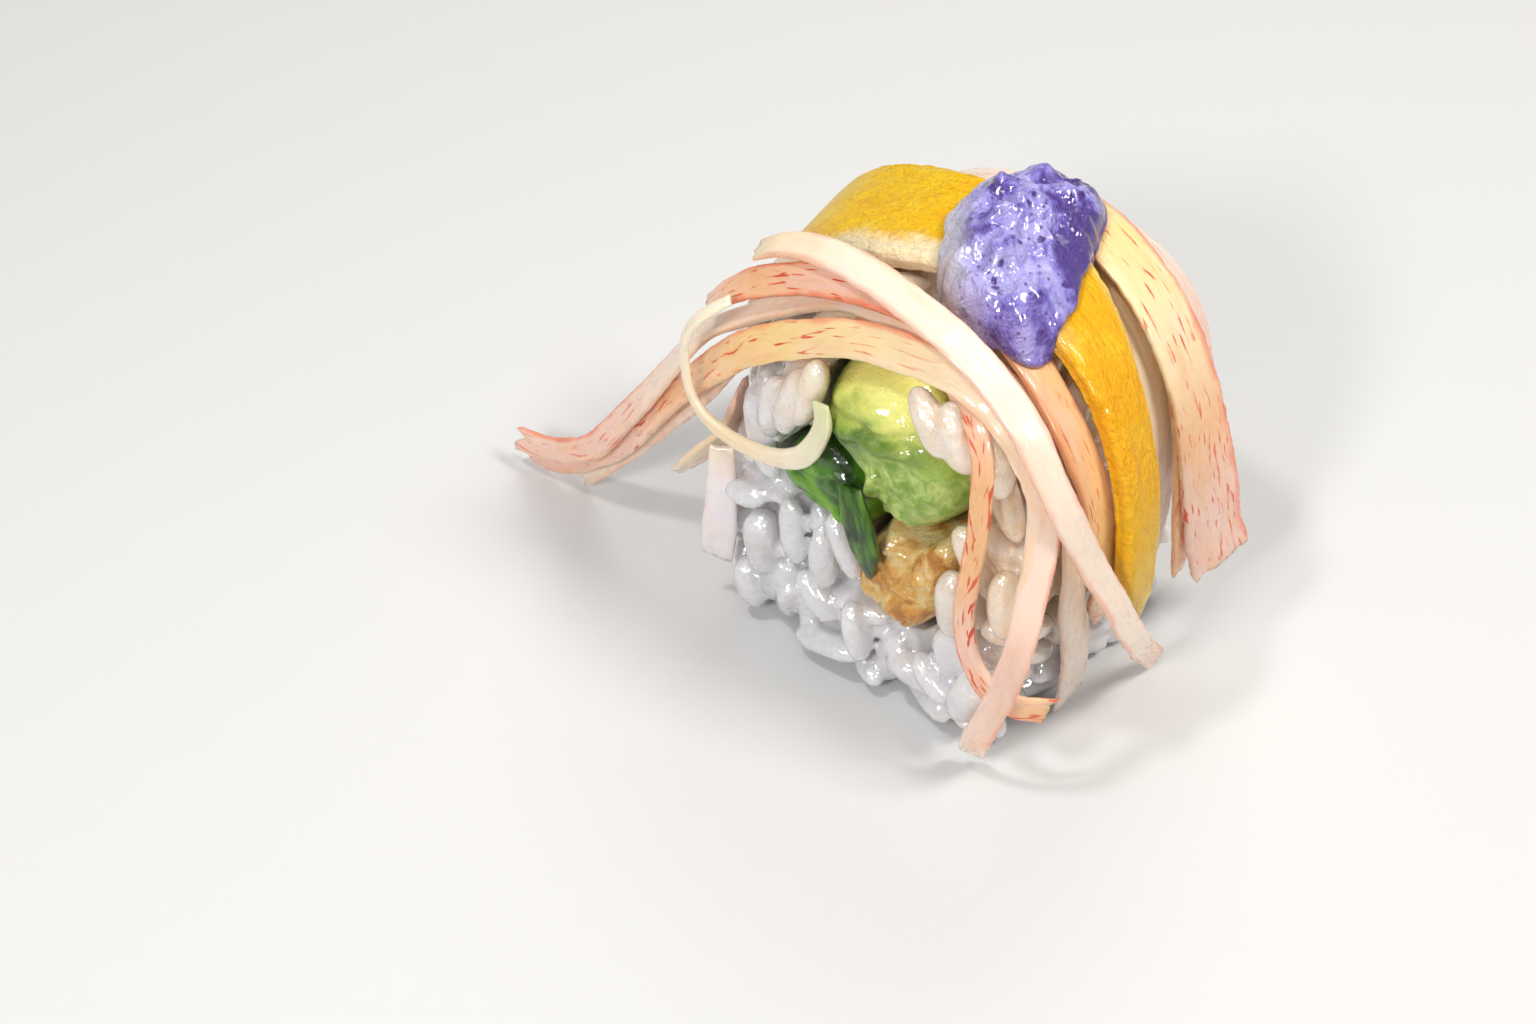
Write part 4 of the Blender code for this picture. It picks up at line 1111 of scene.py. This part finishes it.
UNDER_MANGO = [
    ("band_left_tip", (2.6, 3.4, 2.8, 1.4), (0, 40, 50), 0.8,
     [over(-68, -11.0, 0.8), over(-86, -11.6, 0.9), free(-20.2, -12.2, 14.4),
      free(-22.8, -12.2, 10.8)]),
    ("band_left_drop", (2.4, 3.0, 3.6, 3.2), (-50, -40), 0.9,
     [free(-14.6, -14.9, 21.4), free(-14.2, -15.4, 16.4), free(-14.4, -15.6, 11.4),
      free(-15.0, -15.4, 6.4)]),
    ("band_under_left", (3.4, 3.0, 2.6), (80, 80, 40, 0), 0.8,
     [free(-36.5, -12.0, 1.4), free(-31.0, -12.0, 8.0), free(-25.0, -12.2, 16.0),
      over(-72, -13.0, 3.4), over(-52, -14.0, 1.2), over(-40, -14.2, 0.0)]),
    ("band_middle", (2.4, 2.8, 2.8, 2.6), (0, 0), 0.8,
     [over(-14, -10.8, 0.7), over(7, -10.0, 0.7), over(18, -9.6, 0.7), over(29, -9.8, 0.7),
      over(40, -10.2, 0.8), over(53, -10.2, 0.8), over(66, -9.8, 0.8)]),
    ("band_drop", (2.8, 3.4, 3.8, 4.0), (0, 0), 0.9,
     [over(56, -9.2, 0.8), over(70, -9.2, 1.0), over(90, -8.4, 1.8), over(111, -6.4, 2.8),
      free(19.7, -4.2, 1.2)]),
    ("band_peach", (3.4, 3.8, 3.6, 3.0), (0, 0), 0.9,
     [over(0, -4.8, 0.7), over(18, -6.6, 0.7), over(31, -7.6, 0.7), over(45, -7.6, 0.7),
      over(65, -6.8, 0.7), over(95, -3.6, 0.9), over(116, 0.0, 1.4)]),
    ("band_grey", (5.4, 5.4, 5.2, 4.8), (0, 0), 0.8,
     [over(4, 7.4, 0.7), over(20, 6.4, 0.7), over(36, 5.6, 0.7), over(52, 5.4, 0.7),
      over(70, 6.0, 0.7), over(92, 6.8, 0.8), over(110, 6.8, 1.0), over(124, 7.2, 1.0)],
     8, 0.15),
]
MANGO_ROUTE = [over(-84, 0.2, 4.4), over(-62, 0.6, 5.8), over(-40, 0.6, 4.7), over(-18, 0.6, 2.6),
               over(0, 0.9, 1.8), over(16, -0.8, 1.7), over(31, -2.8, 1.7), over(46, -4.0, 1.7),
               over(63, -4.4, 1.7), over(83, -3.8, 1.7), over(98, -2.4, 1.7), over(107, -1.6, 1.7)]
MANGO_WIDTHS = (9.0, 13.8, 15.2, 14.0, 11.4, 8.2, 5.6, 4.8, 4.2, 2.0)
MANGO_TWISTS = (6, 8, 7, 4, 0, 0, 0, 0, 0)
MANGO_THICKNESS = 2.4
OVER_MANGO = [
    ("band_narrow", (2.6, 2.8, 2.8, 2.4), (0, 0), 0.8,
     [over(-2, 8.6, 1.8), over(12, 8.4, 1.8), over(27, 7.8, 1.8), over(43, 7.2, 1.8),
      over(63, 7.4, 2.0), over(86, 8.0, 2.6), over(104, 9.2, 3.2), over(118, 10.8, 3.6)]),
    ("band_wide", (5.6, 6.2, 6.6, 6.8, 6.8), (0, 0, 0, 15, 25), 0.8,
     [over(-10, 9.8, 1.6), over(5, 9.4, 1.7), over(17, 8.4, 1.8), over(31, 7.7, 2.0),
      over(47, 7.9, 2.2), over(67, 9.0, 2.4), over(87, 10.7, 2.9), over(103, 12.3, 3.4),
      free(23.0, 13.8, 9.0)],
     8, 0.2),
    ("band_back", (2.4, 3.2, 3.4, 3.6, 3.6, 2.6), (35, 35, 40, 42, 42, 40), 0.9,
     [over(-62, 11.8, 1.4), over(-50, 11.9, 1.6), over(-35, 12.4, 0.8), over(-22, 13.0, 0.0),
      over(-8, 13.8, -0.8), over(7, 14.4, -1.2), over(21, 14.6, -1.2), over(35, 14.5, -0.8),
      over(50, 14.3, -0.4), over(66, 14.2, 0.0)]),
    ("band_hanging", (2.2, 2.1, 2.0, 2.2, 3.2), (0, 0), 0.8,
     [over(12, -12.6, 0.7), over(20, -14.4, 0.8), free(15.7, -15.8, 40.8), free(16.4, -16.5, 37.0),
      free(16.5, -16.8, 32.2), free(16.1, -17.0, 26.2), free(15.9, -17.1, 20.4),
      free(17.0, -17.1, 15.8), free(19.4, -16.9, 12.8), free(21.8, -15.7, 11.6),
      free(23.4, -13.9, 10.8)]),
    ("band_front", (2.6, 3.8, 3.5, 3.5, 3.3, 2.7, 2.8), (80, 75, 20, 0, 0, 0, 0, 0), 0.9,
     [free(-42.6, -11.8, 1.6), free(-38.6, -11.4, 2.2), free(-33.6, -11.2, 6.2),
      free(-27.8, -11.6, 13.2), free(-21.6, -12.4, 21.6), over(-58, -13.8, 1.8),
      over(-40, -14.5, 0.0),
      over(-24, -14.7, -0.8), over(-9, -14.3, 0.4), over(4, -13.3, 0.8), over(20, -12.2, 0.8),
      over(40, -12.6, 1.4), over(54, -14.4, 2.2), over(66, -16.2, 2.4), free(22.6, -17.9, 22.6),
      free(21.2, -18.4, 14.8), free(18.8, -17.8, 7.0), free(17.2, -16.2, 2.2)]),
    ("band_left", (2.6, 2.8, 2.5, 2.6, 2.8, 3.0), (60, 80, 50, 10, 0, 0), 1.0,
     [free(-43.2, -11.2, 2.0), free(-39.6, -10.8, 3.0), free(-34.0, -10.8, 7.0),
      free(-27.4, -10.8, 14.4), over(-75, -10.8, 4.6), over(-57, -10.9, 2.0),
      over(-40, -11.0, 1.2), over(-23, -10.9, 0.9), over(-9, -10.8, 1.1), over(6, -10.4, 1.4)]),
    ("band_veined", (2.6, 3.2, 3.2, 2.8, 2.2), (30, 30, 0, 0), 0.8,
     [over(-48, -9.9, 2.4), over(-42, -10.1, 2.8), over(-34, -10.4, 2.8),
      over(-24, -10.8, 2.6), over(-12, -11.0, 2.0), over(0, -11.2, 2.0), over(10, -11.6, 2.0)]),
    ("band_long", (2.4, 3.2, 3.3, 3.0, 2.8, 2.8, 2.6), (20, 10, 0, 0, 0, 0), 0.9,
     [over(-34, -8.0, 1.6), over(-28, -8.3, 1.6), over(-20, -9.0, 1.8),
      over(-10, -10.0, 2.0), over(2, -11.0, 2.2), over(14, -11.8, 2.4), over(26, -12.5, 2.6),
      over(37, -12.9, 2.6), over(50, -12.2, 2.6), free(22.9, -9.4, 25.5), free(23.0, -4.2, 14.6),
      free(23.3, 5.0, 1.6)]),
]
CURL_ROUTE = [free(-13.4, -14.8, 40.6), free(-15.8, -16.6, 38.0), free(-16.8, -17.2, 35.4),
              free(-16.9, -17.2, 32.0), free(-16.3, -17.2, 29.0), free(-14.5, -17.2, 27.0),
              free(-11.0, -17.2, 26.2), free(-6.7, -17.2, 26.9), free(-3.4, -17.2, 28.8),
              free(-1.5, -17.2, 31.8), free(-0.6, -17.2, 35.0), free(-1.1, -17.0, 36.9)]
CURL_WIDTHS = (1.4, 1.4, 1.6, 2.2, 1.8)
CURL_THICKNESS = 0.8
LEAF_ROUTE = [free(2.6, -15.6, 28.2), free(3.6, -16.6, 25.4), free(4.2, -16.8, 22.2),
              free(4.4, -16.2, 17.6)]
LEAF_WIDTHS = (2.6, 3.8, 3.2, 0.8)
LEAF_THICKNESS = 0.8

# Looks of the bands: how far the ends are torn, colours from the left end to the right one, and
# the strength of veins and of red edges; where needed the edge that is red, how much the veins
# form arrows, and the place along the band where the veins fade out.
BAND_LOOKS = {
    "band_left_tip": (0.6, (PINK, CREAM, PALE_CREAM), 0.0, 0.1),
    "band_left_drop": (0.3, (WHITE, COOL_WHITE, COOL_WHITE, COOL_WHITE), 0.0, 0.1),
    "band_under_left": (1.0, (WHITE, WHITE, WHITE), 0.2, 0.3),
    "band_middle": (0.5, (WHITE, WHITE, PINK, PINK), 0.5, 0.5),
    "band_drop": (0.25, (CREAM, GREY, GREY, GREY), 0.0, 0.1),
    "band_peach": (0.6, (PEACH, PEACH, YELLOW, PEACH), 0.8, 0.3),
    "band_grey": (1.0, (CREAM, CREAM, GREY, GREY), 0.1, 0.1),
    "band_narrow": (0.8, (CREAM, CREAM, PEACH, PEACH), 0.6, 0.6, -1),
    "band_wide": (0.5, (CREAM, YELLOW, CREAM, PEACH, PINK, PINK), 1.0, 0.9, -1),
    "band_back": (0.7, (WHITE, WHITE, WHITE, WHITE, WHITE, PINK, PINK), 0.3, 0.25),
    "band_hanging": (1.4, (PINK, PEACH, PEACH, PINK, PEACH), 1.0, 1.0, 1, 0.95),
    "band_front": (0.7, (PINK, PINK, PEACH, YELLOW, CREAM, WHITE, PINK, WHITE), 1.0, 0.7, -1, 0.0,
                   0.62),
    "band_left": (1.4, (PINK, PINK, WHITE, WHITE, WHITE), 0.7, 0.9, -1, 0.0, 0.45),
    "band_veined": (0.5, (PINK, PEACH, PINK, PINK, PINK), 1.0, 0.9),
    "band_long": (0.6, (CREAM, WHITE, WHITE, WHITE, WHITE, WHITE, WHITE, PINK), 0.0, 0.4),
}
FORKED = {"band_left": 0.6, "band_front": 0.4}
PALE_BANDS = ("band_under_left", "band_drop", "band_grey", "band_long", "band_left_drop")
CURL_COLOURS = (PALE_CREAM, PALE_CREAM, CREAM, PALE_CREAM, GREEN_WHITE)


def build_pieces():
    """Lay every fine piece where its solid lies."""
    body = roll_body()
    pile = Pile()
    toppings = Pile()
    pile.trees["rice"] = BVHTree.FromBMesh(body)

    def keep(name):
        """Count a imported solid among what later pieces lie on."""
        tree = solid_tree(name)
        pile.trees[name] = tree
        toppings.trees[name] = tree

    fillings = [
        ("avocado", AVOCADO_OUTLINE, -1.6, 0.6, avocado_relief, avocado_look()),
        ("avocado_slice", SLICE_OUTLINE, -1.0, 0.4, slice_relief, slice_look()),
        ("fish", FISH_OUTLINE, -1.2, 0.5, fish_relief, fish_look()),
    ]
    for name, outline, front, back, relief, look in fillings:
        bm = fine_filling(outline, FACE_Y + front, -FACE_Y + back, relief)
        make_piece(name, bm, look)
        keep(name)

    def strip(name, look, slot, shape, lay=None, **fine):
        """Lay a strip and keep it; shape is its route, widths, thickness and twists."""
        route, widths, thickness, twists = shape
        path = laid_path(route, widths, thickness, pile, twists=twists, **(lay or {}))
        bm, marks = fine_band(path, widths, thickness, twists, **fine)
        make_piece(name, bm, look, marks)
        keep(name)

    def band(index, name, widths, twists, thickness, route, points_round=6, wave=0.0):
        """Lay a band of crab stick; its index gives it veins and fibres of its own."""
        tear, *looks = BAND_LOOKS[name]
        strip(name, crab_look(name + "_flesh", 3.7 * index, *looks),
              "crab_pale" if name in PALE_BANDS else "crab",
              (route, widths, thickness, twists), {"points_round": points_round, "wave": wave},
              seed=3.1 * index, tear=tear, fork=FORKED.get(name, 0.0))

    for index, row in enumerate(UNDER_MANGO):
        band(index, *row)
    strip("mango", mango_look(), "mango",
          (MANGO_ROUTE, MANGO_WIDTHS, MANGO_THICKNESS, MANGO_TWISTS),
          {"points_round": 10, "wave": 0.1}, seed=40.0, ridge=0.28, tear=0.5, count=56, swell=0.04)
    for index, row in enumerate(OVER_MANGO):
        band(index + 10, *row)

    bm, marks = sauce_dollop(pile)
    make_piece("sauce", bm, sauce_look(), marks)
    keep("sauce")

    strip("leaf", leaf_look(), "leaf", (LEAF_ROUTE, LEAF_WIDTHS, LEAF_THICKNESS, (0, 0)),
          {"spacing": 2.0}, seed=60.0, tear=0.3)
    strip("curl", crab_look("curl_flesh", 9.0, CURL_COLOURS, 0.0, 0.0), "crab_pale",
          (CURL_ROUTE, CURL_WIDTHS, CURL_THICKNESS, (0, 0)), {"spacing": 2.0},
          seed=70.0, ridge=0.05, tear=0.3)

    build_rice(body, toppings)
    body.free()


def link_mesh(name, bm):
    """An object that holds a body, in millimetres, for a short time."""
    mesh = bpy.data.meshes.new(name)
    bm.to_mesh(mesh)
    bm.free()
    return add_object(name, mesh)


def take_mesh(*objects):
    """The first object's body with its modifiers applied; all the objects are removed."""
    graph = bpy.context.evaluated_depsgraph_get()
    bm = bmesh.new()
    bm.from_mesh(objects[0].evaluated_get(graph).data)
    for used in objects:
        bpy.data.objects.remove(used, do_unlink=True)
    return bm


def build_rice(body, toppings):
    """A bumpy core with the tunnel for the fillings, and sticky grains that run into each other."""
    core = link_mesh("core", roll_body(150, 60, CORE_BUMPS, CORE_INSET))
    cutter = link_mesh("tunnel", tunnel())
    cut = core.modifiers.new("Cut", "BOOLEAN")
    cut.operation = "DIFFERENCE"
    cut.solver = "EXACT"
    cut.object = cutter
    bm = take_mesh(core, cutter)

    rng = random.Random(GRAIN_SEED + 1)
    grains = place_grains(body, toppings)
    for grain in grains:
        grain_body(bm, *grain, rng)
    sticky = link_mesh("sticky", bm)
    fuse = sticky.modifiers.new("Fuse", "REMESH")
    fuse.mode = "VOXEL"
    fuse.voxel_size = RICE_VOXEL
    bm = take_mesh(sticky)
    bmesh.ops.smooth_vert(bm, verts=bm.verts, factor=0.5, use_axis_x=True, use_axis_y=True,
                          use_axis_z=True)

    # Each point keeps a random tone from its nearest grain and its distance from that grain's axis;
    # the distance drives the painted shade in the crevices.
    shades = []
    tree = KDTree(len(GRAIN_PLACES) * len(grains))
    for centre, direction, length, _ in grains:
        shade = rng.random()
        for point, _ in grain_axis(centre, direction, length):
            tree.insert(point, len(shades))
            shades.append(shade)
    tree.balance()
    tint = []
    for vert in bm.verts:
        _, index, distance = tree.find(vert.co)
        tint.append((shades[index], distance, 0))
    make_piece("rice", bm, rice_look(), {"tint": tint})


# The view: a pale floor, soft light, and the camera at the photograph's angle.

AZIMUTH = 40.0
ELEVATION = 46.0
DISTANCE = 300.0
FOCAL_PIXELS = 3000.0
FRAME_WIDTH = 1536
FRAME_HEIGHT = 1024
ORIGIN_PIXEL = (932, 584)
SENSOR = 36.0
FLOOR_HALF = 3.0
LAMP_AIM = Vector((0, 0, 20))


def aim(obj, right, up, back, place):
    """Turn an object to a view's axes, at a place in millimetres."""
    turned = Matrix((right, up, back)).transposed()
    obj.matrix_world = Matrix.Translation(place * MM) @ turned.to_4x4()


def basis(azimuth, elevation):
    """Right, up and back of a view, from its azimuth and elevation in degrees."""
    a = math.radians(azimuth)
    e = math.radians(elevation)
    back = Vector((math.sin(a) * math.cos(e), -math.cos(a) * math.cos(e), math.sin(e)))
    right = Vector((math.cos(a), math.sin(a), 0))
    return right, back.cross(right), back


def add_camera():
    """The photograph's view: the frame's origin is seen where the roll's foot is in it."""
    data = bpy.data.cameras.new("camera")
    data.sensor_width = SENSOR
    data.lens = SENSOR * FOCAL_PIXELS / FRAME_WIDTH
    data.clip_start = 0.01
    data.clip_end = 10
    camera = add_object("camera", data)
    right, up, back = basis(AZIMUTH, ELEVATION)
    across = (ORIGIN_PIXEL[0] - FRAME_WIDTH / 2) / FOCAL_PIXELS * DISTANCE
    upward = (FRAME_HEIGHT / 2 - ORIGIN_PIXEL[1]) / FOCAL_PIXELS * DISTANCE
    aim(camera, right, up, back, back * DISTANCE - right * across - up * upward)
    bpy.context.scene.camera = camera


def add_lamp(name, azimuth, elevation, distance, size, power, colour, only_shine=False):
    """A square lamp that faces the middle of the food; it may give wet highlights alone."""
    data = bpy.data.lights.new(name, "AREA")
    data.shape = "SQUARE"
    data.size = size * MM
    data.energy = power
    data.color = colour
    lamp = add_object(name, data)
    lamp.visible_diffuse = not only_shine
    right, up, back = basis(azimuth, elevation)
    aim(lamp, right, up, back, back * distance + LAMP_AIM)


def add_floor():
    """A wide, pale and matte floor."""
    mesh = bpy.data.meshes.new("floor")
    corners = [(x * FLOOR_HALF, y * FLOOR_HALF, 0) for x, y in ((-1, -1), (1, -1), (1, 1), (-1, 1))]
    mesh.from_pydata(corners, [], [(0, 1, 2, 3)])
    look = Look("pale_floor", 0.6)
    look.set("Base Color", (0.73, 0.725, 0.715, 1))
    look.set("Specular IOR Level", 0.0)
    mesh.materials.append(look.material)
    floor = add_object("floor", mesh)


def add_world():
    """Even, faintly cool light from all round."""
    world = bpy.data.worlds.new("studio")
    world.use_nodes = True
    sky = world.node_tree.nodes["Background"]
    sky.inputs["Color"].default_value = (0.97, 0.98, 1.0, 1)
    sky.inputs["Strength"].default_value = 0.3
    bpy.context.scene.world = world


build_pieces()
add_camera()
add_floor()
add_world()
add_lamp("key", 105, 58, 420, 100, 0.94, (1.0, 0.98, 0.94))
add_lamp("fill", 10, 40, 460, 70, 0.72, (1.0, 0.99, 0.98))
add_lamp("back", 205, 50, 460, 240, 0.5, (1.0, 0.98, 0.95))
add_lamp("glint", -20, 68, 380, 32, 0.34, (1.0, 1.0, 1.0))
for number, (azimuth, elevation) in enumerate(((-8, 30), (25, 22), (62, 30), (40, 68))):
    add_lamp(f"shine_{number}", azimuth, elevation, 420, 50, 0.9, (1.0, 1.0, 1.0), only_shine=True)
bpy.context.scene.view_settings.view_transform = "Standard"
